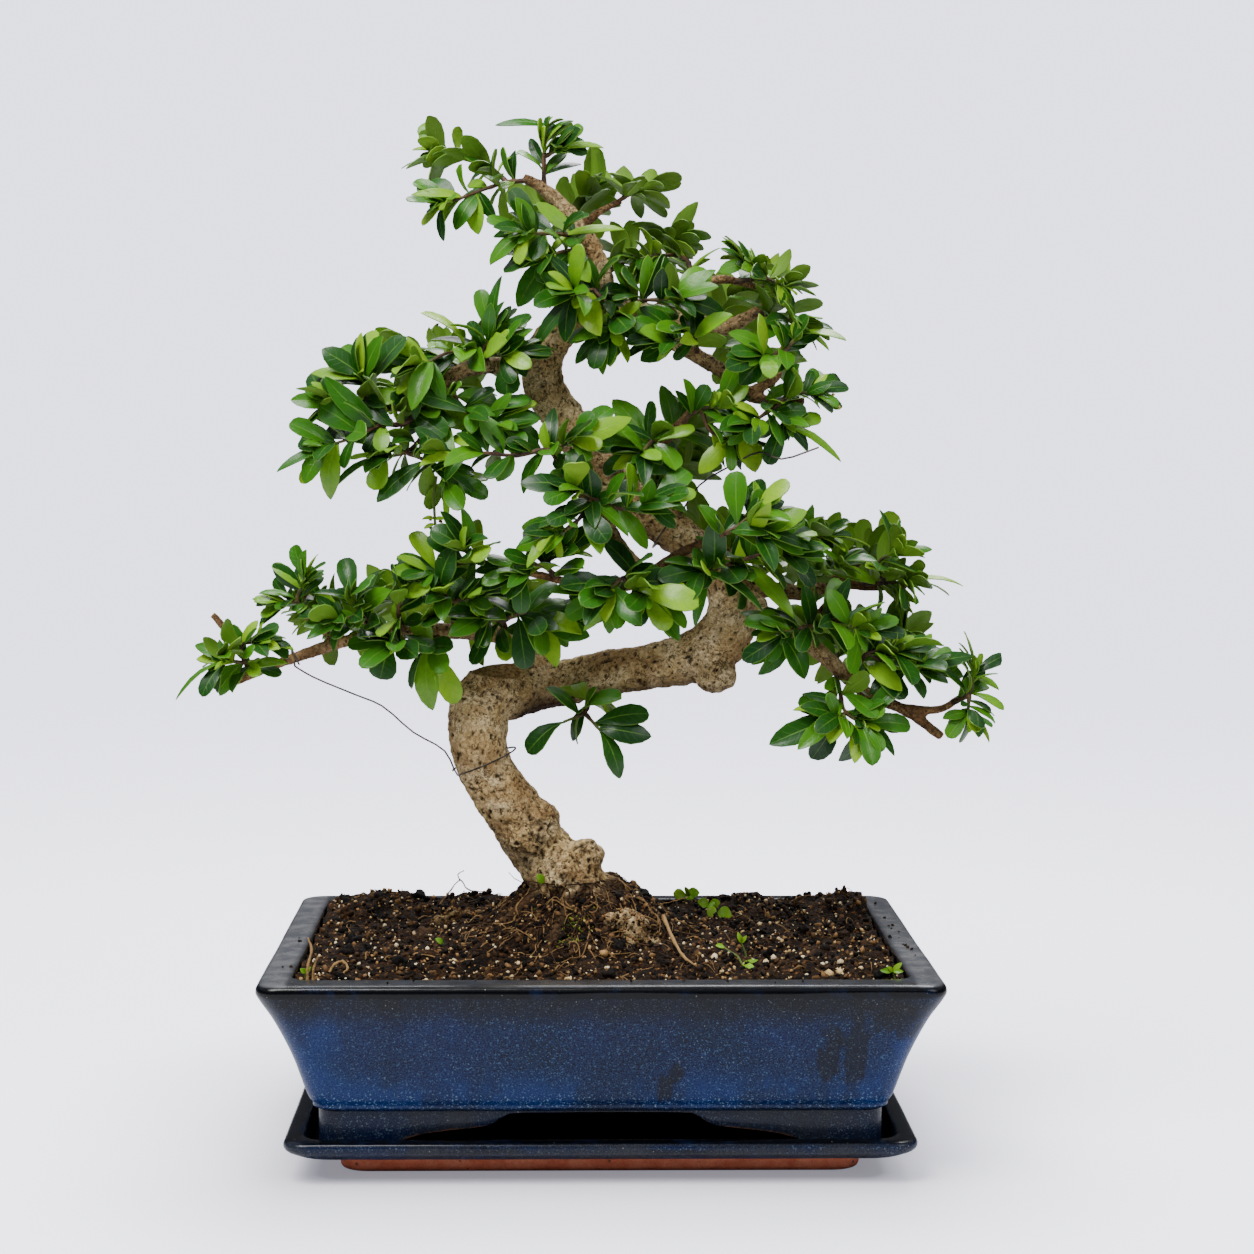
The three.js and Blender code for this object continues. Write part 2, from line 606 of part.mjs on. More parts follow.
// The cloud-shaped opening between two feet, as a bar through the pot along Y.
function arch(halfOutline, length) {
  const left = halfOutline.map(([x, z]) => new THREE.Vector2(-x, z));
  const right = halfOutline.map(([x, z]) => new THREE.Vector2(x, z)).reverse();
  const below = halfOutline[0][0];
  const foot = [-below, below].map((x) => new THREE.Vector2(x, 0));
  const shape = new THREE.Shape([foot[0], ...left, ...right, foot[1]]);
  const geometry = new THREE.ExtrudeGeometry(shape, { depth: length, bevelEnabled: false });
  geometry.translate(0, 0, -length / 2);
  geometry.rotateX(Math.PI / 2);
  return geometry;
}

function upright(radius, bottom, top, sides) {
  const geometry = new THREE.CylinderGeometry(radius, radius, top - bottom, sides);
  geometry.rotateX(Math.PI / 2);
  return geometry.translate(0, 0, (top + bottom) / 2);
}

// A round-sectioned limb along rows of [x, y, z, radius], thicker by fat and with an uneven skin.
function limb(rows, sides, perSpan, { fat = 0, lump = 0 } = {}) {
  const curve = new THREE.CatmullRomCurve3(rows.map(vector), false, 'centripetal');
  const steps = (rows.length - 1) * perSpan;
  const stations = [];
  let across = new THREE.Vector3(0.31, 0.87, 0.38);
  for (let i = 0; i <= steps; i += 1) {
    const at = Math.min(i / perSpan, rows.length - 1.0001);
    const row = Math.floor(at);
    const radius = THREE.MathUtils.lerp(rows[row][3], rows[row + 1][3], at - row);
    const tangent = curve.getTangent(i / steps);
    across = across.clone().addScaledVector(tangent, -across.dot(tangent)).normalize();
    const other = new THREE.Vector3().crossVectors(across, tangent);
    stations.push({ centre: curve.getPoint(i / steps), radius, across, other, tangent });
  }
  stations[0].centre.addScaledVector(stations[0].tangent, -fat);
  stations[steps].centre.addScaledVector(stations[steps].tangent, fat);
  const geometry = new THREE.CylinderGeometry(1, 1, 1, sides, steps);
  const place = geometry.attributes.position;
  for (let i = 0; i < place.count; i += 1) {
    const index = Math.round((place.getY(i) + 0.5) * steps);
    const { centre, radius, across: u, other: w } = stations[index];
    const turn = Math.atan2(place.getZ(i), place.getX(i));
    const uneven = 1 + lump * (Math.sin(2 * turn + index * 1.3) + Math.sin(3 * turn - index * 2.1)) / 2;
    const reach = radius * uneven + fat;
    const point = centre.clone().addScaledVector(u, place.getX(i) * reach);
    point.addScaledVector(w, place.getZ(i) * reach);
    place.setXYZ(i, point.x, point.y, point.z);
  }
  return toSolid(geometry);
}

// Pot, saucer, drainage screens

function buildPot() {
  const body = tray(pot, pot.outside)
    .subtract(tray(pot, pot.inside))
    .subtract(tray(pot, pot.underside))
    .subtract(toSolid(arch(pot.archFront, pot.width + 20)));
  const sideArch = arch(pot.archSide, pot.length + 20);
  sideArch.rotateZ(Math.PI / 2);
  const holes = [-1, 1].map((side) => {
    const hole = upright(pot.drainHole.radius, pot.underside[0][1], pot.inside[1][1], 12);
    return toSolid(hole.translate(side * pot.drainHole.x, 0, 0));
  });
  return body.subtract(toSolid(sideArch)).subtract(join(holes));
}

function buildSaucer() {
  return tray(saucer, saucer.outside).subtract(tray(saucer, saucer.inside));
}

function buildScreen(x) {
  const middle = screen.lift + screen.thick / 2;
  let plate = box([screen.size, screen.size, screen.thick], [x, 0, middle]);
  for (const column of [-0.5, 0.5]) {
    for (const row of [-0.5, 0.5]) {
      const centre = [x + column * screen.pitch, row * screen.pitch, middle];
      plate = plate.subtract(box([screen.hole, screen.hole, 2 * screen.thick], centre));
    }
  }
  return plate;
}

// Trunk

function buildTrunk(fat = 0) {
  const main = limb(trunkLine, 7, 2, { fat, lump: skin.trunk });
  const branches = Object.entries(limbs).map(([name, rows]) => {
    const thick = rows[0][3] > skin.thickLimb;
    return limb(rows, thick ? 5 : 3, 1, { fat, lump: name === 'cutStub' ? skin.stub : 0 });
  });
  const swellings = burls.map(([x, y, z, radius]) => {
    const geometry = new THREE.SphereGeometry(radius + fat, 7, 5);
    geometry.rotateX(radius);
    return toSolid(geometry.translate(x, y, z));
  });
  const surfaceRoots = roots.map((rows) => limb(rows, 4, 1, { fat }));
  return join([main, ...branches, ...swellings, ...surfaceRoots]);
}

// Soil

function soilHeight(x, y) {
  const { mound, level, rearBank } = soil;
  const away = ((x - mound.x) / mound.spreadX) ** 2 + ((y - mound.y) / mound.spreadY) ** 2;
  const ripple = Math.sin(x * 0.19 + 1) * Math.cos(y * 0.23) + 0.7 * Math.sin(x * 0.41 - y * 0.33);
  const bank = rearBank.rise * THREE.MathUtils.smoothstep(y, rearBank.from, rearBank.to);
  return level + mound.rise * Math.exp(-away) + soil.ripple * ripple + bank;
}

// Moves even grid lines closer together near the mound's middle.
function gathered(value, half, middle) {
  const t = value / half;
  return half * t * Math.abs(t) ** soil.gather + middle * (1 - Math.abs(t));
}

function buildSoil(trunkSpace) {
  const bottom = pot.inside[0][1] + gap;
  const geometry = new THREE.BoxGeometry(pot.length, pot.width, 2, ...soil.cells, 1);
  const place = geometry.attributes.position;
  for (let i = 0; i < place.count; i += 1) {
    const x = gathered(place.getX(i), pot.length / 2, soil.mound.x);
    const y = gathered(place.getY(i), pot.width / 2, soil.mound.y);
    place.setXYZ(i, x, y, place.getZ(i) > 0 ? soilHeight(x, y) : bottom);
  }
  const fill = tray(pot, pot.inside, gap);
  const recess = [-1, 1].map((side) => {
    const size = screen.size + 2 * gap;
    const low = bottom - gap;
    const top = screen.lift + screen.thick + gap;
    return box([size, size, top - low], [side * pot.drainHole.x, 0, (top + low) / 2]);
  });
  const block = toSolid(geometry).intersect(fill).subtract(join(recess));
  return largestBody(block.subtract(trunkSpace));
}

// Leaves

// A leaf grows from root along reach. Rows run from its tip to its root:
// place along it, half width, and height of the ridge of its midrib.
const bigLeaf = [
  { along: 1, half: 0, ridge: 0 },
  { along: 0.86, half: 0.72, ridge: 0.75 },
  { along: 0.56, half: 1, ridge: 1 },
  { along: 0.2, half: 0.3, ridge: 0.7 },
  { along: 0, half: 0, ridge: 0 },
];
const smallLeaf = [
  { along: 1, half: 0, ridge: 0 },
  { along: 0.78, half: 0.95, ridge: 0.9 },
  { along: 0.42, half: 0.85, ridge: 1 },
  { along: 0, half: 0, ridge: 0 },
];
const wideLeaf = 8;
const bladeThickness = 1.3;
const bladeBow = 0.07;

function blade({ root, reach, facing, width, rows }, { swell = 0, from = 0 } = {}) {
  const length = reach.length();
  const side = new THREE.Vector3().crossVectors(reach, facing).normalize();
  const up = new THREE.Vector3().crossVectors(side, reach).normalize();
  const last = rows.length - 1;
  const geometry = new THREE.SphereGeometry(1, 3, last);
  const place = geometry.attributes.position;
  for (let i = 0; i < place.count; i += 1) {
    const polar = Math.acos(THREE.MathUtils.clamp(place.getY(i), -1, 1));
    const row = rows[Math.round((polar / Math.PI) * last)];
    const along = from + (1 - from) * row.along;
    const edge = Math.sign(Math.round(place.getZ(i) * 100));
    const onRidge = row.half > 0 && edge === 0;
    const lift = onRidge ? bladeThickness * row.ridge + swell : -swell * Math.sign(row.half);
    const bow = length * bladeBow * 4 * along * (1 - along);
    const point = root.clone().addScaledVector(reach, along);
    point.addScaledVector(side, edge * ((width / 2) * row.half + swell * Math.sign(row.half)));
    point.addScaledVector(up, bow + lift);
    place.setXYZ(i, point.x, point.y, point.z);
  }
  return toSolid(geometry);
}

function seededRandom(seed) {
  let state = seed;
  return () => {
    state = (Math.imul(state, 1664525) + 1013904223) >>> 0;
    return state / 2 ** 32;
  };
}

// The point at a part of a shoot's length, with its direction there.
function alongShoot(route, part) {
  const points = route.map(vector);
  const spans = points.slice(1).map((point, i) => point.distanceTo(points[i]));
  let rest = part * spans.reduce((sum, span) => sum + span, 0);
  let i = 0;
  while (i < spans.length - 1 && rest > spans[i]) {
    rest -= spans[i];
    i += 1;
  }
  const direction = points[i + 1].clone().sub(points[i]).normalize();
  return { point: points[i].clone().addScaledVector(direction, rest), direction };
}

function shootLength(route) {
  return route.slice(1).reduce((sum, row, i) => sum + vector(row).distanceTo(vector(route[i])), 0);
}

const leafRule = {
  seed: 20417,
  spacing: 24,
  bareStart: 7,
  goldenAngle: 2.39996,
  crownLeaves: { bare: 3, dressed: 1 },
  crownStep: 2.2,
  sideAngle: 1.0,
  crownAngle: 0.62,
  raise: 0.12,
  turnPlay: 0.5,
  leanPlay: 0.35,
};

// Leaves turn their faces up and away from the middle of the tree.
function leafFacing(point, a, b) {
  const outward = new THREE.Vector3(point.x * 0.2, point.y, 0).normalize();
  return new THREE.Vector3(a - 0.5, b - 0.5, 0.6).addScaledVector(outward, 0.7);
}

function grownLeaf(route, part, turn, lean, size, random) {
  const { point, direction } = alongShoot(route, part);
  const jitter = [random(), random(), random(), random(), random(), random()];
  const across = new THREE.Vector3(0.2, -0.3, 1).cross(direction).normalize();
  across.applyAxisAngle(direction, turn + (jitter[0] - 0.5) * leafRule.turnPlay);
  const angle = lean + (jitter[1] - 0.5) * leafRule.leanPlay;
  const aim = direction.clone().multiplyScalar(Math.cos(angle)).addScaledVector(across, Math.sin(angle));
  aim.z += leafRule.raise;
  const length = size * (0.8 + 0.5 * jitter[2]);
  return {
    root: point,
    reach: aim.normalize().multiplyScalar(length),
    facing: leafFacing(point, jitter[3], jitter[4]),
    width: Math.max(4, length * (0.42 + 0.14 * jitter[5])),
    rows: smallLeaf,
  };
}

function chosenLeaf(route, [, part, x, y, z, width], random) {
  const { point } = alongShoot(route, part);
  const reach = new THREE.Vector3(x, y, z);
  const facing = leafFacing(point, random(), random());
  return { root: point, reach, facing, width, rows: width > wideLeaf ? bigLeaf : smallLeaf };
}

function leavesOf(spray, random) {
  const chosen = spray.leaves.map((leaf) => chosenLeaf(spray.shoots[leaf[0]], leaf, random));
  const grown = spray.shoots.flatMap((route, shoot) => {
    const length = shootLength(route);
    const leaves = [];
    for (let i = 0; leafRule.bareStart + i * leafRule.spacing < length - 2; i += 1) {
      const part = (leafRule.bareStart + i * leafRule.spacing) / length;
      leaves.push(grownLeaf(route, part, i * leafRule.goldenAngle, leafRule.sideAngle, spray.size, random));
    }
    const atTip = spray.leaves.filter((leaf) => leaf[0] === shoot && leaf[1] > 0.85).length;
    const crown = spray.leaves.length > 0 ? leafRule.crownLeaves.dressed : leafRule.crownLeaves.bare;
    for (let i = atTip; i < crown; i += 1) {
      const part = 1 - (1 + leafRule.crownStep * i) / length;
      const turn = i * leafRule.goldenAngle + 1;
      leaves.push(grownLeaf(route, part, turn, leafRule.crownAngle, spray.size, random));
    }
    return leaves;
  });
  return { chosen, grown };
}

// Ways to bend a leaf clear of another: turned about its shoot's upright, raised, and shortened.
const bends = [
  [0, 0, 1], [0.3, 0, 1], [-0.3, 0, 1], [0, 0.25, 1], [0, -0.25, 1], [0.5, 0.2, 0.9], [-0.5, 0.2, 0.9],
  [0, 0.4, 0.75], [0.7, -0.2, 0.75], [-0.7, -0.2, 0.75],
];

function bent(leaf, [turn, raise, scale]) {
  const reach = leaf.reach.clone().applyAxisAngle(new THREE.Vector3(0, 0, 1), turn);
  const length = reach.length();
  reach.z += raise * length;
  return { ...leaf, reach: reach.setLength(length * scale) };
}

function blocker(solid, owner) {
  const { min, max } = solid.boundingBox();
  return { solid, owner, bounds: new THREE.Box3(new THREE.Vector3(...min), new THREE.Vector3(...max)) };
}

function isClear(solid, blockers) {
  const { bounds } = blocker(solid, '');
  return blockers.every((other) => {
    if (!other.bounds.intersectsBox(bounds)) {
      return true;
    }
    const shared = other.solid.intersect(solid);
    const clear = shared.isEmpty();
    shared.delete();
    return clear;
  });
}

// The leaf, bent until it crosses nothing, or null where no bend frees it.
function settledLeaf(leaf, owner, blockers) {
  const others = blockers.filter((other) => other.owner !== owner);
  const own = blockers.filter((other) => other.owner === owner && !other.isStem);
  for (const bend of bends) {
    const tried = bent(leaf, bend);
    const whole = blade(tried, { swell: clearance.blade });
    const outer = blade(tried, { swell: clearance.ownBlade, from: clearance.ownFrom });
    const free = isClear(whole, others) && isClear(outer, own);
    whole.delete();
    outer.delete();
    if (free) {
      return tried;
    }
  }
  return null;
}

const stemRadius = { start: 1.25, side: 0.95, end: 0.75 };

// How far blades and stems keep from what isn't theirs, and where a blade starts to keep clear of its own.
const clearance = { blade: 0.45, ownBlade: 0.1, ownFrom: 0.3, stem: 0.4 };

function stemRows(route, isFirst) {
  const last = route.length - 1;
  const start = isFirst ? stemRadius.start : stemRadius.side;
  return route.map((row, i) => [...row, THREE.MathUtils.lerp(start, stemRadius.end, i / last)]);
}

function stemsOf(spray, fat = 0) {
  return spray.shoots.map((route, i) => limb(stemRows(route, i === 0), 3, 1, { fat }));
}

function buildSprays(trunkSpace) {
  const random = seededRandom(leafRule.seed);
  const names = Object.keys(sprays);
  const blockers = [blocker(trunkSpace, 'trunk')];
  const parts = {};
  names.forEach((name) => {
    parts[name] = stemsOf(sprays[name]);
    stemsOf(sprays[name], clearance.stem).forEach((stem) => {
      blockers.push({ ...blocker(stem, name), isStem: true });
    });
  });
  const waiting = names.map((name) => ({ name, ...leavesOf(sprays[name], random) }));
  for (const kind of ['chosen', 'grown']) {
    for (const { name, [kind]: leaves } of waiting) {
      for (const leaf of leaves) {
        const settled = settledLeaf(leaf, name, blockers);
        if (settled) {
          const solid = blade(settled);
          parts[name].push(solid);
          blockers.push(blocker(solid, name));
        }
      }
    }
  }
  return names.map((name) => [name, largestBody(join(parts[name]).subtract(trunkSpace))]);
}

// Guy wires

function turnPoints({ centre, axis, radius, start }) {
  const along = vector(axis).normalize();
  const u = vector(start).addScaledVector(along, -along.dot(vector(start))).normalize();
  const w = new THREE.Vector3().crossVectors(along, u);
  return Array.from({ length: wireTurn.steps + 1 }, (_, i) => {
    const angle = (i / wireTurn.steps) * wireTurn.angle;
    const point = vector(centre).addScaledVector(u, Math.cos(angle) * radius);
    point.addScaledVector(w, Math.sin(angle) * radius);
    return point.addScaledVector(along, wireTurn.climb * angle).toArray();
  });
}

function buildWire({ firstTurn, run, lastTurn }) {
  const line = [...turnPoints(firstTurn).reverse(), ...run, ...(lastTurn ? turnPoints(lastTurn) : [])];
  return limb(line.map((row) => [...row, wireRadius]), 4, 1);
}

// Materials and assembly

const finishes = {
  glaze: { color: 0x16295c, roughness: 0.22, metalness: 0 },
  saucerGlaze: { color: 0x101d45, roughness: 0.2, metalness: 0 },
  screenPlastic: { color: 0x22402c, roughness: 0.6, metalness: 0 },
  soil: { color: 0x2b1d14, roughness: 0.95, metalness: 0 },
  bark: { color: 0xa89877, roughness: 0.85, metalness: 0 },
  wire: { color: 0x5c5a55, roughness: 0.4, metalness: 0.9 },
};

const group = new THREE.Group();

function place(name, solid, finish) {
  const mesh = new THREE.Mesh(toGeometry(solid), new THREE.MeshStandardMaterial(finish));
  mesh.name = name;
  group.add(mesh);
}

const trunkSpace = buildTrunk(gap);

place('saucer', buildSaucer(), finishes.saucerGlaze);
place('pot', buildPot(), finishes.glaze);
place('drain_screen_left', buildScreen(-pot.drainHole.x), finishes.screenPlastic);
place('drain_screen_right', buildScreen(pot.drainHole.x), finishes.screenPlastic);
place('soil', buildSoil(trunkSpace), finishes.soil);
place('trunk', buildTrunk(), finishes.bark);

buildSprays(trunkSpace).forEach(([name, solid], i) => {
  const color = leafGreens[i % leafGreens.length];
  place(`spray_${name}`, solid, { color, roughness: 0.4, metalness: 0 });
});

Object.entries(guyWires).forEach(([name, wire]) => {
  place(name, buildWire(wire), finishes.wire);
});

export default group;
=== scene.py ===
import math
import random

import bmesh
import bpy
import numpy
from mathutils import Matrix, Quaternion, Vector, noise
from mathutils.bvhtree import BVHTree
from mathutils.kdtree import KDTree


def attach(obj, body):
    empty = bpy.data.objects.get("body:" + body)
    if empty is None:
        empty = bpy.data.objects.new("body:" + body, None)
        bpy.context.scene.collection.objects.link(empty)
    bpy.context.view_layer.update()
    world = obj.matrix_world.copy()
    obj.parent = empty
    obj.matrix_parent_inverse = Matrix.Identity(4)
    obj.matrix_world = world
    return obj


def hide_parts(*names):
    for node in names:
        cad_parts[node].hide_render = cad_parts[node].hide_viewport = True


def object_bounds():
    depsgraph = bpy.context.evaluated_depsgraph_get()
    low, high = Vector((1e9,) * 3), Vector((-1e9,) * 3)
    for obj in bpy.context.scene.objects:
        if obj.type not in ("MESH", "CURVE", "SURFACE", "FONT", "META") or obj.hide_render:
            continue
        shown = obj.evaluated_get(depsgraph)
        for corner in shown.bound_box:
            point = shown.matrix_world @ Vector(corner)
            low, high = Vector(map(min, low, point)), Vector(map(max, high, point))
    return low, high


# Fukien tea bonsai in its glazed pot. Sizes below are millimetres, and the scene is metres.
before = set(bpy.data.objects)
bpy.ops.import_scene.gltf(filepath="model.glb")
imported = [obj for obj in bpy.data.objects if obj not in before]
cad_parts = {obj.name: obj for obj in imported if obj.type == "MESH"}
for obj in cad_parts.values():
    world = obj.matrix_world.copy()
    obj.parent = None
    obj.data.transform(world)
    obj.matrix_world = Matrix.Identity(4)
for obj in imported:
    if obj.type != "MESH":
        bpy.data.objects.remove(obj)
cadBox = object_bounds()
mm = 0.001
upward = Vector((0, 0, 1))
print("frame loaded with", len(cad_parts), "nodes")


# Small helpers

def smoothStep(value):
    value = min(1, max(0, value))
    return value * value * (3 - 2 * value)


def around(angle):
    return Vector((math.cos(angle), math.sin(angle), 0))


def anyDirection(dice, lowest=-1):
    return Vector((dice.uniform(-1, 1), dice.uniform(-1, 1), dice.uniform(lowest, 1)))


def anyTurn(dice):
    return Quaternion([dice.uniform(-1, 1) for _ in range(4)]).normalized()


def matrixAt(place, turn, size):
    return Matrix.LocRotScale(Vector(place) * mm, turn, Vector(size) * mm)


# Shader helpers

# A colour as a socket takes it, from three values of 0 to 255.
def srgb(color):
    def linear(value):
        value /= 255
        return value / 12.92 if value <= 0.04045 else ((value + 0.055) / 1.055) ** 2.4
    return (*(linear(value) for value in color), 1.0)


# The nodes of one material or node group. A colour here is a socket, or three values of 0 to 255.
class Paint:
    def __init__(self, tree, place=None):
        self.tree = tree
        self.place = place or tree.nodes.new("ShaderNodeTexCoord").outputs["Object"]

    def node(self, kind, inputs, **settings):
        node = self.tree.nodes.new("ShaderNode" + kind)
        for name, value in settings.items():
            setattr(node, name, value)
        for key, value in inputs.items():
            if isinstance(value, bpy.types.NodeSocket):
                self.tree.links.new(value, node.inputs[key])
            else:
                node.inputs[key].default_value = value
        return node

    def calc(self, operation, first, second=0.0, third=0.5):
        return self.node("Math", {0: first, 1: second, 2: third}, operation=operation).outputs[0]

    def times(self, first, second):
        return self.calc("MULTIPLY", first, second)

    def plus(self, first, second):
        return self.calc("ADD", first, second)

    def vector(self, operation, *values):
        return self.node("VectorMath", dict(enumerate(values)), operation=operation).outputs

    # A smooth step from low to high, or down where low is the higher.
    def ramp(self, value, low, high, toLow=0.0, toHigh=1.0):
        return self.node("MapRange", {0: value, 1: low, 2: high, 3: toLow, 4: toHigh},
                         interpolation_type="SMOOTHSTEP").outputs[0]

    def over(self, base, top, mask, share=1, blend="MIX"):
        colors = [color if isinstance(color, bpy.types.NodeSocket) else srgb(color) for color in (base, top)]
        mask = mask if share == 1 else self.times(mask, share)
        inputs = {0: mask, 6: colors[0], 7: colors[1]}
        return self.node("Mix", inputs, data_type="RGBA", blend_type=blend).outputs[2]

    # Colours laid over a base one by one. A row is (colour, mask, share of the mask, way of mixing).
    def layers(self, base, *rows):
        for row in rows:
            base = self.over(base, *row)
        return base

    def noise(self, scale, detail, roughness, low, high, place=None):
        texture = self.node("TexNoise", {"Vector": place or self.place, "Scale": scale, "Detail": detail,
                                         "Roughness": roughness})
        return self.ramp(texture.outputs["Fac"], low, high)

    def stretched(self, height):
        return self.node("Mapping", {"Vector": self.place, "Scale": (1, 1, height)}).outputs[0]

    def axis(self, axis, vector=None):
        return self.node("SeparateXYZ", {0: vector or self.place}).outputs[axis]

    def value(self, name):
        return self.node("Attribute", {}, attribute_name=name).outputs["Fac"]

    def colorRamp(self, value, stops):
        node = self.node("ValToRGB", {0: value})
        elements = node.color_ramp.elements
        while len(elements) < len(stops):
            elements.new(0.5)
        for element, (spot, color) in zip(elements, stops):
            element.position = spot
            element.color = srgb(color)
        return node.outputs[0]

    def use(self, group, **inputs):
        node = self.tree.nodes.new("ShaderNodeGroup")
        node.node_tree = group
        for key, value in {"Vector": self.place, **inputs}.items():
            socket = node.inputs[key.replace("_", " ")]
            if isinstance(value, bpy.types.NodeSocket):
                self.tree.links.new(value, socket)
            else:
                socket.default_value = value
        return node.outputs

    def flecks(self, fine, coarse, spotScale, spotSize):
        return self.use(speckle, Fine=fine, Coarse=coarse, Spot_Scale=spotScale, Spot_Size=spotSize)

    # Wires the shader. roughness is a socket, relief is (height, strength, distance in mm).
    def finish(self, color, roughness, relief):
        height, strength, distance = relief
        bump = self.node("Bump", {"Height": height, "Strength": strength, "Distance": distance * mm})
        sockets = {"Base Color": color, "Roughness": roughness, "Normal": bump.outputs["Normal"]}
        for key, socket in sockets.items():
            self.tree.links.new(socket, self.shader.inputs[key])
        return self.material


def newPaint(name, **values):
    material = bpy.data.materials.new(name)
    material.use_nodes = True
    paint = Paint(material.node_tree)
    paint.material, paint.shader = material, material.node_tree.nodes["Principled BSDF"]
    for key, value in values.items():
        paint.shader.inputs[key.replace("_", " ")].default_value = value
    return paint


# A node group, as (paint for its nodes, its input sockets, its output sockets). inputs holds a value per label.
def newGroup(name, inputs, outputs):
    group = bpy.data.node_groups.new(name, "ShaderNodeTree")
    for label, value in {"Vector": None, **inputs}.items():
        kind = "NodeSocketFloat" if isinstance(value, float) else "NodeSocketVector"
        socket = group.interface.new_socket(label, in_out="INPUT", socket_type=kind)
        if value is not None:
            socket.default_value = value
    for label in outputs:
        group.interface.new_socket(label, in_out="OUTPUT", socket_type="NodeSocketFloat")
    start, end = group.nodes.new("NodeGroupInput").outputs, group.nodes.new("NodeGroupOutput").inputs
    return Paint(group, start["Vector"]), start, end


# Fine speckle of two sizes, and rare round spots, shared by the glazes, the clay, the wood and the soil.
def makeSpeckle():
    inputs = {"Fine": 1500.0, "Coarse": 300.0, "Spot Scale": 150.0, "Spot Size": 0.1}
    paint, start, end = newGroup("speckle", inputs, ("Fine", "Coarse", "Spots"))
    fine = paint.node("TexNoise", {"Vector": paint.place, "Scale": start["Fine"], "Detail": 2.0})
    coarse = paint.node("TexNoise", {"Vector": paint.place, "Scale": start["Coarse"], "Detail": 4.0})
    cells = paint.node("TexVoronoi", {"Vector": paint.place, "Scale": start["Spot Scale"]})
    near = paint.calc("SUBTRACT", start["Spot Size"], cells.outputs["Distance"])
    for label, mask in (("Fine", paint.ramp(fine.outputs["Fac"], 0.4, 0.62)),
                        ("Coarse", paint.ramp(coarse.outputs["Fac"], 0.35, 0.65)),
                        ("Spots", paint.ramp(near, 0.0, 0.04))):
        paint.tree.links.new(mask, end[label])
    return paint.tree


# A soft stain at a place, its edge made ragged as by something that ran down.
def makeStain():
    paint, start, end = newGroup("stain", {"Centre": (0, 0, 0), "Size": (1, 1, 1), "Ragged": 0.5}, ("Mask",))
    away = paint.vector("SUBTRACT", paint.place, start["Centre"])[0]
    length = paint.vector("LENGTH", paint.vector("DIVIDE", away, start["Size"])[0])["Value"]
    rough = paint.node("TexNoise", {"Vector": paint.stretched(0.3), "Scale": 210.0, "Detail": 5.0,
                                    "Roughness": 0.62})
    shift = paint.times(paint.calc("SUBTRACT", rough.outputs["Fac"], 0.5), start["Ragged"])
    paint.tree.links.new(paint.ramp(paint.plus(length, shift), 1.15, 0.75), end["Mask"])
    return paint.tree


speckle = makeSpeckle()
stain = makeStain()


# Mesh helpers

# Trims what stands a hair outside the solids' box.
def keepInBox(mesh):
    places = numpy.empty(len(mesh.vertices) * 3, numpy.float32)
    mesh.vertices.foreach_get("co", places)
    low, high = cadBox
    mesh.vertices.foreach_set("co", numpy.clip(places.reshape(-1, 3), low, high).ravel())


def newObject(name, data):
    holder = bpy.data.objects.new(name, data)
    bpy.context.scene.collection.objects.link(holder)
    return holder


def newPiece(name, mesh, materials, nodes=()):
    keepInBox(mesh)
    piece = newObject(name, mesh)
    for material in materials:
        mesh.materials.append(material)
    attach(piece, "root")
    if nodes:
        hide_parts(*nodes)
    return piece


def meshFrom(bm, name, sharpAngle=None):
    mesh = bpy.data.meshes.new(name)
    bm.to_mesh(mesh)
    bm.free()
    mesh.shade_smooth()
    if sharpAngle:
        mesh.set_sharp_from_angle(angle=math.radians(sharpAngle))
    return mesh


# A point attribute, from one value for all or a list of them.
def setValues(mesh, name, values):
    layer = mesh.attributes.get(name) or mesh.attributes.new(name, "FLOAT", "POINT")
    layer.data.foreach_set("value", values if isinstance(values, list) else [values] * len(mesh.vertices))


# Pours a mesh into bm with these attributes and drops it.
def pour(bm, mesh, **values):
    for name, value in values.items():
        setValues(mesh, name, value)
    bm.from_mesh(mesh)
    bpy.data.meshes.remove(mesh)


# A smooth line through rows of [x, y, z, radius], as (point, radius) steps.
def smoothLine(rows, perSpan):
    points = [Vector(row[:3]) for row in rows]
    points = [points[0] * 2 - points[1]] + points + [points[-1] * 2 - points[-2]]
    line = []
    for span in range(len(rows) - 1):
        before, start, end, after = points[span:span + 4]
        gaps = [max((b - a).length ** 0.5, 1e-4) for a, b in ((before, start), (start, end), (end, after))]
        leave = ((start - before) / gaps[0] - (end - before) / (gaps[0] + gaps[1]) + (end - start) / gaps[1])
        arrive = ((end - start) / gaps[1] - (after - start) / (gaps[1] + gaps[2]) + (after - end) / gaps[2])
        leave *= gaps[1]
        arrive *= gaps[1]
        cubic = start * 2 - end * 2 + leave + arrive
        square = end * 3 - start * 3 - leave * 2 - arrive
        for step in range(perSpan + (span == len(rows) - 2)):
            t = step / perSpan
            point = start + leave * t + square * t ** 2 + cubic * t ** 3
            line.append((point, rows[span][3] * (1 - t) + rows[span + 1][3] * t))
    return line


# Round tubes with closed ends along lines of (point, radius), as one mesh.
def tubeMesh(lines, roundness):
    curve = bpy.data.curves.new("line", "CURVE")
    curve.dimensions = "3D"
    curve.bevel_depth = mm
    curve.bevel_resolution = roundness
    curve.use_fill_caps = True
    for line in lines:
        spline = curve.splines.new("POLY")
        spline.points.add(len(line) - 1)
        for spot, (point, radius) in zip(spline.points, line):
            spot.co = (*(point * mm), 1)
            spot.radius = radius
    holder = newObject("line", curve)
    mesh = finalMesh(holder)
    bpy.data.objects.remove(holder)
    bpy.data.curves.remove(curve)
    return mesh


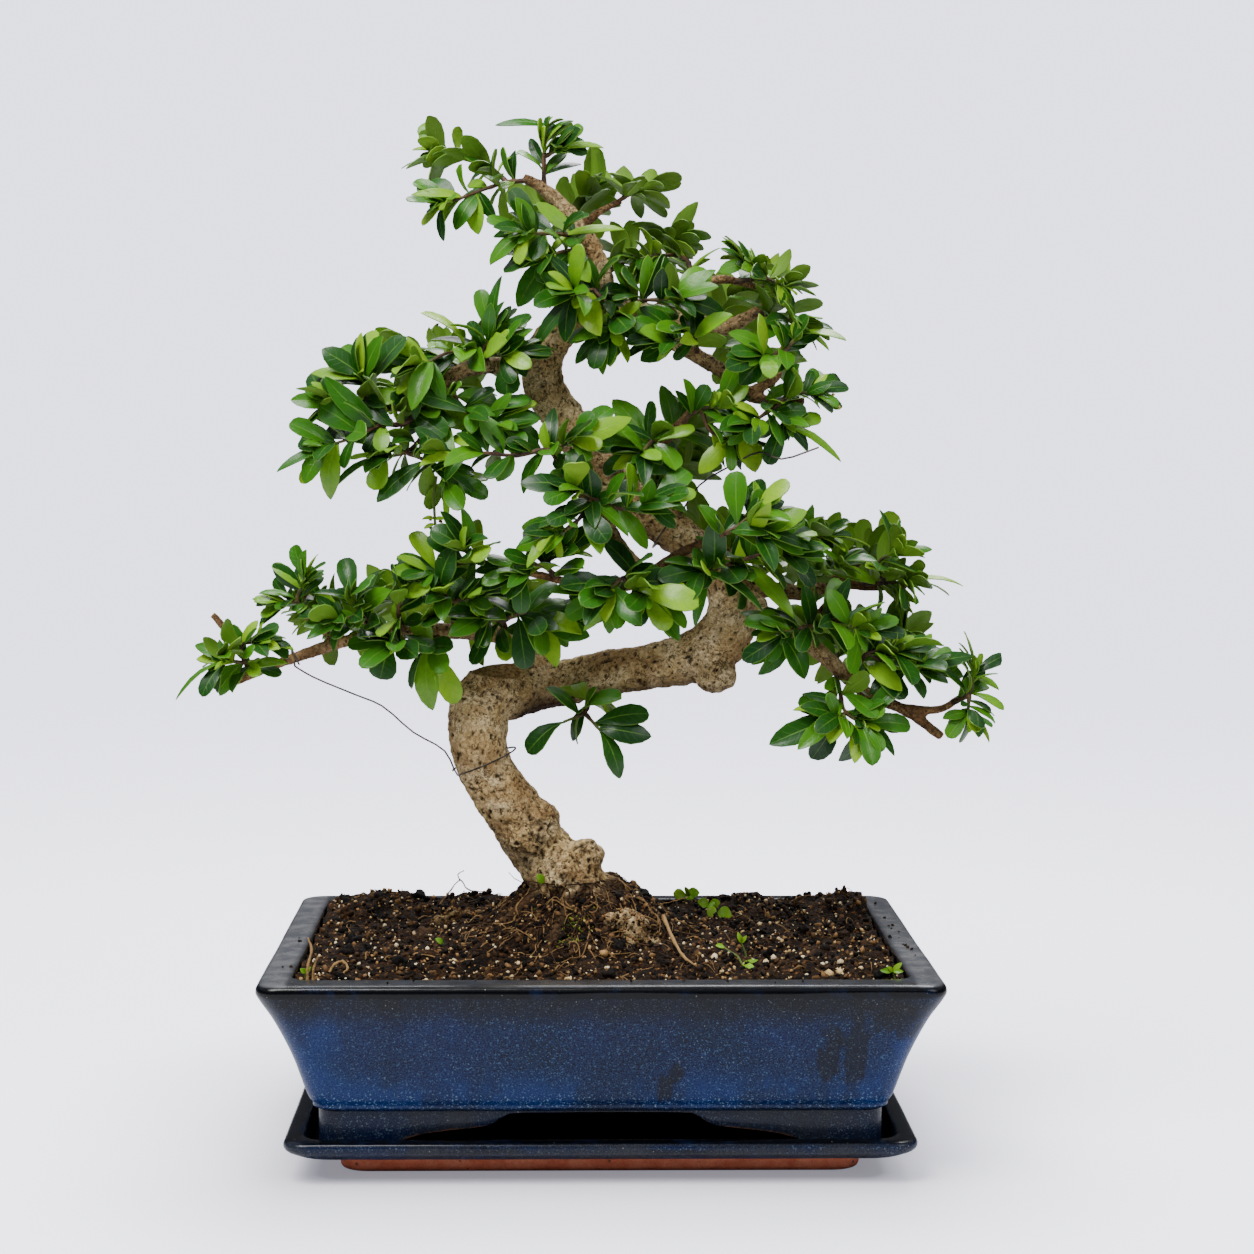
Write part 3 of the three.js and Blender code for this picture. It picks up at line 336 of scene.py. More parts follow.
# The mesh that an object shows, with its modifiers applied.
def finalMesh(piece):
    bpy.context.view_layer.update()
    return bpy.data.meshes.new_from_object(piece.evaluated_get(bpy.context.evaluated_depsgraph_get()))


def settled(piece):
    mesh, old = finalMesh(piece), piece.data
    piece.modifiers.clear()
    piece.data = mesh
    bpy.data.meshes.remove(old)
    return mesh


def searchTree(mesh):
    return BVHTree.FromPolygons([vert.co / mm for vert in mesh.vertices],
                                [tuple(face.vertices) for face in mesh.polygons])


# Pot and saucer: one wall profile each, carried round a rectangle with round corners.

potSettings = {
    "length": 250, "width": 187, "corner": 8, "side step": 2.4,
    # [inset from the outline, height], from the floor inside, over the rim, to the space under the floor
    "wall": [(25.5, 27), (25.1, 28.5), (24.6, 32), (18.5, 48), (13.2, 64), (12.5, 72), (12.4, 74.8),
             (11.9, 75.6), (11.1, 75.9), (6.4, 75.85), (2.6, 75.6), (1.1, 75.1), (0.3, 74.2), (0, 73),
             (0.1, 71.8), (0.7, 70.4), (2.2, 67.6), (5.2, 62.3), (8.8, 54.5), (12.3, 45.5), (14.8, 37.5),
             (16.5, 31.8), (17.5, 29.2), (18.3, 28), (18.5, 27.4), (18.5, 26.7), (18.9, 26.1), (20.0, 25.5),
             (20.5, 25.0)],
    "plain rows": 6,                                    # rows of the wall that the soil hides
    # [inset, part of the way from the foot's edge to the wall above]
    "foot": [(20.5, 0.8), (20.45, 0.5), (20.5, 0.14), (20.8, 0.045), (21.6, 0), (27.4, 0), (28.3, 0.03),
             (28.6, 0.2), (28.6, 1)],
    "bare part": 0.045,                                 # the row of the foot where the glaze has worn off
    "foot top": 25.0, "foot bottom": 9.9, "under floor": (28.9, 24.9),
    # [distance from the middle, height] of the cloud-shaped opening between two feet
    "front arch": [(76, 9.9), (72.5, 14), (66, 16), (57, 17.4), (48, 18.4), (42, 19.2), (38.5, 20.8),
                   (36, 22.8), (33.5, 24.1), (28, 24.4), (0, 24.5)],
    "side arch": [(44, 9.9), (40, 14), (34, 16), (26, 17.8), (21.5, 19.2), (19, 21.4), (16, 23.6),
                  (11, 24.2), (0, 24.3)],
    "unglazed": {"below": 25.3, "inset": 27, "facing": -0.7},
    "drain hole": {"x": 55, "radius": 9, "height": 26, "depth": 20},
    "glaze": (0.0705, 0.0758),                          # metres, the dark line under the rim, the lip's top
    # [centre, half size] of the stains where the glaze ran, in metres
    "drips": [((0.0835, -0.088, 0.0465), (0.004, 0.03, 0.0135)),
              ((0.0935, -0.088, 0.05), (0.0052, 0.03, 0.0165)),
              ((0.0232, -0.085, 0.035), (0.003, 0.03, 0.006)),
              ((0.0272, -0.085, 0.0405), (0.0036, 0.03, 0.0042)),
              ((-0.071, 0.09, 0.05), (0.006, 0.03, 0.014)), ((0.05, 0.09, 0.044), (0.004, 0.03, 0.012)),
              ((0.11, 0.03, 0.048), (0.04, 0.006, 0.013)), ((0.108, -0.085, 0.064), (0.009, 0.03, 0.008))],
    "wobble": 0.28,
}

saucerSettings = {
    "length": 233, "width": 170, "corner": 9, "side step": 5,
    "wall": [(10.2, 9.6), (9.4, 9.75), (8.6, 10.6), (8.0, 12.4), (7.4, 14.6), (6.8, 15.7), (5.6, 16.0),
             (2.2, 16.0), (0.9, 15.7), (0.25, 15.0), (0, 13.9), (0.3, 12.7), (1.2, 11.5), (3.2, 10.2),
             (5.6, 8.9), (12, 7.0), (18.6, 5.6), (19.2, 5.0), (19.4, 4.2), (19.6, 1.6), (20.2, 0.5), (21.4, 0)],
    "glaze": (0.0145, 0.1),
    "drips": [((-0.05, -0.085, 0.013), (0.02, 0.03, 0.002)), ((0.03, -0.085, 0.012), (0.03, 0.03, 0.0016))],
    "clay below": 5.8, "well below": 11.5,              # the bare foot, the floor inside
    "wobble": 0.2,
}


def outlinePoints(settings):
    halfX, halfY, corner = settings["length"] / 2, settings["width"] / 2, settings["corner"]
    points = []
    signs = ((1, 1), (-1, 1), (-1, -1), (1, -1), (1, 1))
    for turn, ((signX, signY), (nextX, nextY)) in enumerate(zip(signs, signs[1:])):
        centre = Vector((signX * (halfX - corner), signY * (halfY - corner), 0))
        points += [centre + around(math.radians(90 * turn + 90 * i / 8)) * corner for i in range(9)]
        start = points[-1]
        end = start + Vector(((nextX - signX) * (halfX - corner), (nextY - signY) * (halfY - corner), 0))
        steps = round((end - start).length / settings["side step"])
        points += [start.lerp(end, i / steps) for i in range(1, steps)]
    return points


def archHeight(rows, across):
    for (outer, low), (inner, high) in zip(rows, rows[1:]):
        if inner <= across <= outer:
            return low + (high - low) * (outer - across) / (outer - inner)
    return rows[0][1]


# An outline point moved in by inset, round corners by all of it and straight sides in proportion.
def insetPoint(point, inset, settings):
    flatX = settings["length"] / 2 - settings["corner"]
    flatY = settings["width"] / 2 - settings["corner"]
    shareX, shareY = max(-1, min(1, point.x / flatX)), max(-1, min(1, point.y / flatY))
    return (point.x - inset * shareX, point.y - inset * shareY)


def footEdge(point, inset, settings):
    x, y = insetPoint(point, inset, settings)
    onSide = abs(point.x) > settings["length"] / 2 - 0.5
    onFront = abs(point.y) > settings["width"] / 2 - 0.5
    if onSide and not onFront:
        return archHeight(settings["side arch"], abs(y))
    if onFront and not onSide:
        return archHeight(settings["front arch"], abs(x))
    return settings["foot bottom"]


# Carries the profile rows round the outline. A row is a function of its point that gives (inset, height).
def wallAround(settings, rows):
    points = outlinePoints(settings)
    bm = bmesh.new()
    outline = bm.verts.layers.float_vector.new("outline")
    edgeMark = bm.verts.layers.float.new("edge")
    ring = bmesh.ops.create_circle(bm, segments=len(points), radius=1)["verts"]
    for vert, point in zip(ring, points):
        vert[outline] = point
    edges = list(bm.edges)

    def shape(verts, row):
        for vert in verts:
            base = vert[outline]
            inset, height, vert[edgeMark] = row(base)
            place = Vector((*insetPoint(base, inset, settings), height))
            uneven = noise.noise(place * 0.021) * settings["wobble"] + noise.noise(place * 0.09) * 0.07
            place += Vector((base.x / 125, base.y / 93, 0)) * (uneven if height > 3 else 0)
            vert.co = place * mm

    shape(ring, rows[0])
    firstEdges = edges
    for row in rows[1:]:
        made = bmesh.ops.extrude_edge_only(bm, edges=edges)["geom"]
        edges = [part for part in made if isinstance(part, bmesh.types.BMEdge)]
        shape([part for part in made if isinstance(part, bmesh.types.BMVert)], row)
    bmesh.ops.contextual_create(bm, geom=firstEdges)
    bmesh.ops.contextual_create(bm, geom=edges)
    bmesh.ops.recalc_face_normals(bm, faces=bm.faces)
    return bm


def fixedRow(inset, height):
    return lambda point: (inset, height, 0)


def footRow(settings, inset, part):
    def row(point):
        low = footEdge(point, inset, settings)
        bare = smoothStep((low - settings["foot bottom"] - 1) / 3) if part == settings["bare part"] else 0
        return inset, low + (settings["foot top"] - low) * part, bare
    return row


def finerRows(rows, perSpan):
    line = smoothLine([(inset, 0, height, 0) for inset, height in rows], perSpan)
    return [fixedRow(point.x, point.z) for point, _ in line]


# Dark blue glaze, mottled lighter where it ran thick, nearly black where it is thin. Heights are metres.
def glazeMaterial(name, darkLine, lipTop, drips):
    paint = newPaint(name, Coat_Weight=0.14, Coat_Roughness=0.06, Specular_IOR_Level=0.18)
    height, across = paint.axis(2), paint.calc("ABSOLUTE", paint.axis(0))
    fleck = paint.flecks(2100.0, 60.0, 230.0, 0.07)
    streak = paint.noise(44.0, 4.0, 0.6, 0.32, 0.68, paint.stretched(0.4))
    cloud = paint.noise(24.0, 3.0, 0.55, 0.36, 0.64)
    pale = paint.noise(1500.0, 1.0, 0.5, 0.6, 0.72)
    thick = paint.plus(paint.ramp(height, 0.046, 0.030), paint.ramp(across, 0.086, 0.112))
    bright = paint.times(paint.calc("MINIMUM", thick, 1.0), paint.ramp(streak, 1.0, 0.1, 0.25, 1.0))
    seam = paint.times(paint.ramp(height, 0.034, 0.0295), paint.times(pale, 0.7))
    blue = paint.layers((5, 7, 26), ((9, 15, 62), cloud), ((12, 13, 26), streak, 0.45),
                        ((12, 44, 104), bright, 0.8), ((30, 60, 110), fleck["Fine"], 0.5),
                        ((88, 122, 156), pale, 0.6), ((128, 158, 184), seam))
    foot = paint.ramp(height, 0.0285, 0.0245)
    grey = paint.layers((6, 6, 8), ((32, 36, 42), fleck["Fine"], 0.5), ((92, 98, 104), pale, 0.4),
                        ((46, 50, 60), paint.times(foot, streak), 0.6))
    thin = paint.calc("MAXIMUM", paint.ramp(height, darkLine - 0.014, darkLine - 0.002), foot)
    edge = paint.times(paint.calc("SUBTRACT", streak, 0.5), 0.3)
    color = paint.over(blue, grey, paint.plus(thin, edge), 0.85)
    for centre, size in drips:
        color = paint.over(color, grey, paint.use(stain, Centre=centre, Size=size, Ragged=2.4)["Mask"], 0.72)
    bare = paint.times(paint.value("edge"), paint.noise(170.0, 4.0, 0.6, 0.36, 0.56))
    rim = paint.ramp(height, darkLine, darkLine + 0.0015)
    rimColor = paint.over((5, 6, 9), (12, 22, 44), paint.noise(90.0, 5.0, 0.65, 0.5, 0.72))
    # The lip's flat top is dull and paler, most of all at the two ends: partly lime and dust, partly painted
    # sheen for the light the lip reflects.
    dustAndSheen = paint.over((84, 86, 92), (122, 122, 124), paint.noise(130.0, 4.0, 0.6, 0.3, 0.7))
    lip = paint.times(paint.ramp(height, lipTop - 0.0011, lipTop - 0.0002),
                      paint.ramp(across, 0.1125, 0.1155, 0.22, 0.8))
    color = paint.layers(color, ((118, 86, 58), bare, 0.8), (rimColor, rim), (dustAndSheen, lip),
                         ((168, 172, 166), fleck["Spots"], 0.5))
    roughness = paint.calc("SUBTRACT", paint.ramp(fleck["Fine"], 0.0, 1.0, 0.26, 0.4), paint.times(rim, 0.14))
    return paint.finish(color, roughness, (paint.plus(paint.times(fleck["Fine"], 0.5), streak), 0.18, 0.12))


# Bare fired clay under the glaze line of the saucer.
def clayMaterial():
    paint = newPaint("bare clay")
    fleck = paint.flecks(1700.0, 130.0, 160.0, 0.11)
    foot = paint.ramp(paint.axis(2), 0.0022, 0.0004)
    color = paint.layers((238, 128, 94), ((254, 154, 118), fleck["Coarse"]),
                         ((208, 106, 76), fleck["Fine"], 0.3), ((92, 44, 30), foot, 0.5),
                         ((60, 34, 26), fleck["Spots"], 0.6))
    return paint.finish(color, paint.ramp(fleck["Fine"], 0.0, 1.0, 0.72, 0.9), (fleck["Fine"], 0.3, 0.15))


# Dark dusty clay and glaze where no light or cloth reaches, darker than they are: painted shade for the pot's
# underside and the saucer's well.
def clayWithPaintedShade(name, tone):
    paint = newPaint(name, Specular_IOR_Level=0.05)
    fleck = paint.flecks(1300.0, 90.0, 150.0, 0.1)
    color = paint.layers((tone * 0.3, tone * 0.26, tone * 0.26),
                         ((tone, tone * 0.8, tone * 0.7), fleck["Coarse"]), ((90, 76, 62), fleck["Spots"], 0.3))
    return paint.finish(color, paint.ramp(fleck["Fine"], 0.0, 1.0, 0.8, 1.0), (fleck["Fine"], 0.3, 0.15))


def makePot():
    settings = potSettings
    plain, bare, hole = settings["plain rows"], settings["unglazed"], settings["drain hole"]
    rows = finerRows(settings["wall"][:plain], 2) + finerRows(settings["wall"][plain:], 3)
    rows += [footRow(settings, inset, part) for inset, part in settings["foot"]]
    rows.append(fixedRow(*settings["under floor"]))
    mesh = meshFrom(wallAround(settings, rows), "pot", 42)
    for face in mesh.polygons:
        place = face.center / mm
        outside = max(abs(place.x) - settings["length"] / 2, abs(place.y) - settings["width"] / 2)
        hidden = outside < -bare["inset"] or face.normal.z < bare["facing"]
        # Low faces hidden under the pot take the bare clay darkened with painted shade.
        face.material_index = 1 if place.z < bare["below"] and hidden else 0
    glaze = glazeMaterial("pot glaze", *settings["glaze"], settings["drips"])
    pot = newPiece("pot_body", mesh, [glaze, clayWithPaintedShade("pot underside painted shade", 34)], ["pot"])
    bm = bmesh.new()
    for side in (-1, 1):
        place = Matrix.Translation(Vector((side * hole["x"], 0, hole["height"])) * mm)
        bmesh.ops.create_cone(bm, cap_ends=True, segments=40, radius1=hole["radius"] * mm,
                              radius2=hole["radius"] * mm, depth=hole["depth"] * mm, matrix=place)
    drill = newObject("drill", meshFrom(bm, "drill"))
    pot.modifiers.new("drain holes", "BOOLEAN").object = drill
    settled(pot)
    bpy.data.objects.remove(drill)


def makeSaucer():
    settings = saucerSettings
    bm = wallAround(settings, finerRows(settings["wall"], 3))
    bm.normal_update()
    for face in bm.faces:
        highest = max(vert.co.z for vert in face.verts) / mm
        inWell = face.normal.z > 0.2 and highest < settings["well below"]
        # The saucer's well takes dark glaze with painted shade and almost no reflection.
        face.material_index = 1 if highest < settings["clay below"] else 2 if inWell else 0
    finishes = [glazeMaterial("saucer glaze", *settings["glaze"], settings["drips"]), clayMaterial(),
                clayWithPaintedShade("saucer well painted shade", 12)]
    newPiece("saucer_body", meshFrom(bm, "saucer", 42), finishes, ["saucer"])


makePot()
makeSaucer()
print("pot and saucer made")


# Potting soil, heaped up round the roots.

soilSettings = {
    "level": 73.2, "bottom": 28, "half length": 112, "half width": 80.5, "corner": 8, "cell": 1.5,
    "mound": (-8, 4), "rise": 24, "spread": (36, 34), "rear bank": 2.4,
    "shoulder": {"rise": 4.2, "away": 23, "wide": 9}, "clump": 2.3, "clump size": 8.5,
    "banks": [((-88, 66), 15, 5.6), ((104, 62), 17, 6), ((60, 74), 12, 2.6), ((-50, 70), 16, 3)],
    "skirt": (0.888, 0.845),                            # how far the sides draw in towards the bottom
    "crumbs": 3300, "mound crumbs": 900, "clods": 120, "grains": 1250, "large grains": 34,
    "fibres": 760, "rim crumbs": 34,
    "seed": 5,
}


def soilHeight(x, y):
    settings = soilSettings
    moundX, moundY = settings["mound"]
    spreadX, spreadY = settings["spread"]
    away = ((x - moundX) / spreadX) ** 2 + ((y - moundY) / spreadY) ** 2
    ripple = math.sin(x * 0.19 + 1) * math.cos(y * 0.23) + 0.7 * math.sin(x * 0.41 - y * 0.33)
    bank = settings["rear bank"] * smoothStep((y - 30) / 40)
    return settings["level"] + settings["rise"] * math.exp(-away) + 0.8 * ripple + bank




# The old trunk and its branches. A row is (x, y, z, radius).

trunkLine = [
    (-6, 2, 58, 19), (-8, 1, 72, 18.5), (-8, 0, 84, 17), (-13, 0, 97, 14.4), (-23.5, 0, 111, 12.3),
    (-32.5, -1, 125, 11.8), (-43.5, -2, 141, 11), (-47.5, -2, 156, 11.4), (-45.5, 2, 169, 12.2),
    (-33, 9, 172.5, 10.8), (-19, 14, 174, 9.3), (0, 12, 178, 8.9), (22, 8, 182, 9.2), (38, 4, 186, 10.4),
    (48.5, 2, 194, 11.2), (52, 2, 207, 9.9), (46, 5, 220, 8.9), (35, 8, 230, 8.2), (20, 10, 241, 7.8),
    (6, 8, 253, 7.8), (-5, 4, 267, 8.2), (-15, 1, 280, 8.5), (-22, 0, 292.5, 7.9), (-21.5, 0, 305, 7.7),
    (-14, 2, 314, 7), (0, 5, 319, 6.4), (17, 6, 320, 5.4),
]

limbLines = {
    "cutStub": [(-45, 0, 166, 9), (-44, 0, 173, 9.3), (-43, 0, 179.5, 8.2)],
    "lowerLeft": [(-18, 8, 180, 4.6), (-37, 0, 194, 3.6), (-64, -10, 197, 3.2), (-87, -14, 196, 2.7),
                  (-118, -18, 187, 2.1), (-143, -22, 177, 1.5)],
    "lowerLeftTwig": [(-100, -15, 193, 1.8), (-107, -15, 198, 1.6), (-115, -14, 207, 1.4),
                      (-109, -14, 217, 1.2)],
    "lowerLeftStub": [(-133, -20, 181, 1.7), (-138, -20, 192, 1.5), (-148, -20, 204, 1.4)],
    "heart": [(43, 2, 219, 4.2), (20, -18, 217, 3.4), (9, -24, 228, 2.9), (2, -28, 239, 2.5),
              (-7, -28, 250, 2.1), (-17, -26, 264, 1.7)],
    "heartLeft": [(18, -17, 217, 2.4), (0, -24, 214, 2), (-20, -28, 219, 1.7), (-42, -30, 224, 1.4)],
    "heartRight": [(18, -18, 219, 2.3), (30, -26, 228, 2), (42, -32, 234, 1.7), (57, -32, 243, 1.4)],
    "kneeRight": [(52, 4, 212, 4.2), (67, 10, 212, 3.4), (83, 14, 211, 2.9), (95, 16, 216, 2.4),
                  (103, 16, 223, 1.8)],
    "kneeRightLow": [(93, 15, 215, 2.2), (107, 15, 213, 1.8), (122, 14, 213.5, 1.5)],
    "lowerRight": [(56, -1, 206, 5.2), (77, -8, 195, 3.7), (90, -12, 185, 3.2), (104, -14, 173, 2.6),
                   (118, -16, 167, 2.1), (132, -18, 157, 1.9)],
    "lowerRightTip": [(116, -16, 168, 2), (131, -16, 167.5, 1.6), (139, -15, 172, 1.4), (148, -14, 179, 1.2)],
    "lowerRightUp": [(77, -8, 195, 2.2), (85, -8, 204, 1.8), (92, -6, 211, 1.4)],
    "middleLeft": [(-22, 0, 300, 4.2), (-39, -8, 299, 3.3), (-51, -12, 298, 3), (-61.5, -14, 291, 2.6),
                   (-67, -15, 285, 2.3), (-80, -16, 283, 1.8), (-88, -16, 285, 1.4)],
    "middleRight": [(-3, 2, 262, 3.6), (17, -8, 265, 2.8), (29, -14, 275.5, 2.1), (35, -16, 283, 1.5)],
    "upperRight": [(10, 6, 320, 5.4), (33, 8, 317, 4.2), (48, 10, 314.5, 3.3), (57, 10, 318.5, 2.6),
                   (66, 8, 324, 1.9)],
    "upperRightLow": [(15, 4, 319, 4), (31, -4, 307, 3.5), (47, -10, 297, 3), (57, -14, 288, 2.6),
                      (65, -14, 286, 2), (78, -14, 286, 1.5)],
    "upperRightFork": [(56, -14, 289, 2.1), (67, -14, 295, 1.8), (68.5, -13, 304, 1.5), (72, -12, 310.5, 1.2)],
    "upperRightTop": [(20, 6, 320, 2.6), (34, 4, 329, 2.1), (47, 2, 333, 1.8), (63, 0, 329.5, 1.4)],
    "apex": [(-4, 4, 317, 5.6), (1, 2, 329, 4.9), (-7, 0, 350, 3.9), (-17, -2, 362, 3.2), (-24, -3, 368, 2.5),
             (-30, -4, 371, 1.9)],
    "apexRight": [(-8, 0, 352, 1.9), (0, 2, 359, 1.5), (8, 4, 363, 1.2)],
}

burls = [
    (-27, -4, 116.5, 11.8), (-6, -2, 107.5, 8.3), (-5, -3, 101, 7), (-15, -9, 100, 7.5),
    (45.5, -1, 180, 8.5), (60, -2, 206, 6.2), (-23, -3, 122.5, 8.4),
]

rootLines = [
    [(-2, -6, 95, 5), (6, -13, 89, 3.4), (12, -18, 84, 2.5), (15, -23, 80, 1.8), (16, -29, 76, 1.2)],
    [(-10, -8, 96, 5.5), (-13, -17, 90, 4), (-17, -27, 82, 2.6), (-20, -38, 75, 1.4)],
    [(-16, -4, 97, 6), (-27, -8, 90, 4), (-38, -13, 82, 2.6), (-50, -18, 74, 1.4)],
    [(-4, -8, 96, 4.5), (0, -20, 88, 3), (3, -30, 80, 2.2), (8, -42, 74, 1.2)],
    [(0, -1, 97, 5), (6, -2, 95, 4.2), (11, -1, 91, 3.4), (18, 2, 85, 2.4), (30, 4, 77, 1.4)],
    [(-8, 10, 99, 6), (-12, 22, 92, 4), (-20, 35, 82, 2.6), (-26, 47, 74, 1.4)],
    [(4, 10, 96, 5), (14, 22, 87, 3.4), (22, 34, 78, 2.2), (27, 44, 73, 1.3)],
]

woodSettings = {
    "voxel": 0.86,                # mm, size of the remesh
    "smooth": 2,                  # rounds of smoothing after it
    "lump": 0.9, "lump size": 17,
    "rough": 0.58, "rough size": 3.4,
    "pit depth": 0.75, "pit size": 1.5,
    "cut ends": ("cutStub", "lowerLeftStub", "lowerLeft", "lowerRight"),
    "knotty": (1, 1.35, 1.6, 1.6),                      # how tight the corky bark sits on the first burls
    "crook": ((-24, 8, 165), 13),                       # the recess behind the first bend, darkened with painted shade
    "root twigs": 22,
    "seed": 11,
}


# Thin roots that wander over the mound from the foot of the trunk.
def fineRoots(settings, dice):
    lines = []
    for i in range(settings["root twigs"]):
        angle = dice.uniform(0, 2 * math.pi)
        start = dice.uniform(8, 20)
        reach = dice.uniform(14, 34)
        radius = dice.uniform(0.35, 1.0)
        bend = dice.uniform(-0.9, 0.9)
        rows = []
        for step in range(7):
            away = start + reach * step / 6
            turn = angle + bend * step / 6 + 0.14 * math.sin(step * 2.1 + i)
            x, y = Vector(soilSettings["mound"]) + around(turn).xy * away
            lift = radius * (0.9 if 0 < step < 6 else -1.5) + dice.uniform(-0.3, 0.5)
            rows.append((x, y, soilHeight(x, y) + lift, radius * (1 - 0.09 * step)))
        lines.append(smoothLine(rows, 3))
    return lines


def woodLines():
    rows = {"trunk": trunkLine, **limbLines, **{f"root{i}": line for i, line in enumerate(rootLines)}}
    return {name: smoothLine(line, 5) for name, line in rows.items()}


def barkMaterial():
    paint = newPaint("bark", Specular_IOR_Level=0.2)
    fleck = paint.flecks(900.0, 95.0, 330.0, 0.2)
    warp = paint.node("TexNoise", {"Vector": paint.place, "Scale": 300.0, "Detail": 3.0})
    bent = paint.vector("MULTIPLY_ADD", warp.outputs["Color"], (0.005, 0.005, 0.005), paint.place)[0]
    cells = paint.node("TexVoronoi", {"Vector": bent, "Scale": 520.0}, feature="DISTANCE_TO_EDGE")
    crack = paint.ramp(cells.outputs["Distance"], 0.13, 0.02)
    crack = paint.times(crack, paint.noise(420.0, 2.0, 0.5, 0.46, 0.56))
    crack = paint.times(crack, paint.noise(60.0, 3.0, 0.6, 0.28, 0.54))
    scales = paint.noise(1150.0, 2.0, 0.5, 0.56, 0.63, bent)
    grain = paint.noise(780.0, 4.0, 0.65, 0.42, 0.6)
    worn = paint.noise(46.0, 4.0, 0.65, 0.45, 0.66)
    dots = paint.times(fleck["Spots"], paint.noise(110.0, 2.0, 0.5, 0.44, 0.58))
    corky = paint.times(paint.value("knob"), paint.noise(330.0, 4.0, 0.7, 0.5, 0.57))
    tan = paint.layers((212, 182, 126), ((244, 220, 170), fleck["Coarse"]), ((176, 144, 96), worn),
                       ((152, 120, 82), grain, 0.5, "MULTIPLY"))
    young = paint.layers((112, 80, 50), ((172, 136, 92), fleck["Coarse"]), ((54, 36, 22), grain, 0.6))
    # This dark brown is dirt low on the trunk and painted shade under the branches and behind the bend.
    dirtAndShade = paint.layers((20, 13, 8), ((58, 39, 22), fleck["Coarse"]), ((88, 62, 36), grain, 0.5))
    color = paint.layers(young, (tan, paint.value("age")), ((104, 76, 46), scales, 0.4),
                         ((66, 46, 25), crack, 0.8), ((36, 24, 13), dots, 0.8),
                         ((26, 17, 10), paint.value("pit"), 0.9), ((30, 20, 11), corky, 0.88),
                         (dirtAndShade, paint.value("grimeAndShade")),
                         (paint.over((176, 142, 92), (120, 88, 52), grain), paint.value("cut")))
    relief = paint.calc("SUBTRACT", fleck["Coarse"], crack)
    relief = paint.calc("SUBTRACT", relief, paint.times(paint.plus(grain, corky), 0.5))
    return paint.finish(color, paint.ramp(fleck["Fine"], 0.0, 1.0, 0.72, 0.95), (relief, 0.85, 0.5))


# One skin over all the parts of a piece.
def oneSkin(piece, settings):
    remesh = piece.modifiers.new("one skin", "REMESH")
    remesh.mode = "VOXEL"
    remesh.voxel_size = settings["voxel"] * mm
    piece.modifiers.new("soften", "SMOOTH").iterations = settings["smooth"]
    return settled(piece)


# Moves each point of the skin along its normal and marks it, by what weather(place, normal) gives.
def weatherSkin(mesh, weather):
    moved, marks = [], {name: [] for name in ("pit", "grimeAndShade", "age", "cut", "knob")}
    for vert in mesh.vertices:
        place = vert.co / mm
        push, *values = weather(place, vert.normal)
        moved.extend((place + vert.normal * push) * mm)
        for row, value in zip(marks.values(), values):
            row.append(value)
    mesh.vertices.foreach_set("co", moved)
    for name, values in marks.items():
        setValues(mesh, name, values)
    mesh.update()
    keepInBox(mesh)
    mesh.shade_smooth()


# How the trunk's bark swells and pits, where it is dirty or darkened with painted shade, and where it was cut.
def trunkWeather(lines, settings):
    samples = [(point, radius) for line in lines.values() for point, radius in line]
    nearest = KDTree(len(samples))
    for i, (point, _) in enumerate(samples):
        nearest.insert(point, i)
    nearest.balance()
    cuts = []
    for name in settings["cut ends"]:
        (before, _), (end, radius) = lines[name][-3], lines[name][-1]
        cuts.append((end, (end - before).normalized(), radius))
    knots = [(Vector(row[:3]), row[3], tight) for row, tight in zip(burls, settings["knotty"])]
    crookPlace, crookSize = Vector(settings["crook"][0]), settings["crook"][1]

    def weather(place, normal):
        radius = samples[nearest.find(place)[1]][1]
        old = smoothStep((radius - 1.6) / 3.2)
        lump = noise.fractal(place / settings["lump size"], 1.0, 2.0, 2) * settings["lump"] * min(1, radius / 8)
        rough = noise.fractal(place / settings["rough size"], 0.8, 2.1, 3)
        rough *= settings["rough"] * min(1, radius / 5)
        away = [((place - centre).length / size, tight) for centre, size, tight in knots]
        knobby = max(smoothStep(1.5 - share) for share, _ in away)
        stretched = Vector((place.x, place.y, place.z * 0.8)) / settings["pit size"]
        deep = noise.noise(stretched + Vector((7.1, 3.3, 9.2)))
        wide = noise.noise(place / 5.5 + Vector((1.7, 8.8, 2.4)))
        pit = smoothStep((deep + 0.2 * knobby + 0.3 * wide - 0.36) / 0.16) * old
        hole = noise.noise(place / 3.6 + Vector((3.1, 5.2, 0.4))) + 0.16 * knobby - 0.38
        pit = max(pit, smoothStep(hole / 0.12) * knobby)
        cut = max(1.0 if (place - end).dot(aim) > -0.35 and (place - end).length < size * 1.5 else 0.0
                  for end, aim, size in cuts)
        push = lump + rough + 0.5 * knobby * noise.noise(place / 3.1)
        push -= pit * settings["pit depth"] * (1 + knobby)
        # Painted shade: bark that faces down on the upper trunk and branches, and the recess behind the first
        # bend; soiled is dirt by the soil.
        under = smoothStep((-normal.z - 0.35) / 0.5) * smoothStep((place.z - 155) / 12) * old
        crook = smoothStep(1.25 - (place - crookPlace).length / crookSize)
        soiled = smoothStep((101 - place.z + 7 * noise.noise(place / 5) + 0.45 * max(0, place.x + 1)) / 7)
        grimeAndShade = min(1, 0.62 * under + 0.7 * crook + 0.97 * soiled)
        knob = max(smoothStep(1.45 - share * tight) for share, tight in away)
        return push * (1 - cut), pit, grimeAndShade, old, cut, knob
    return weather


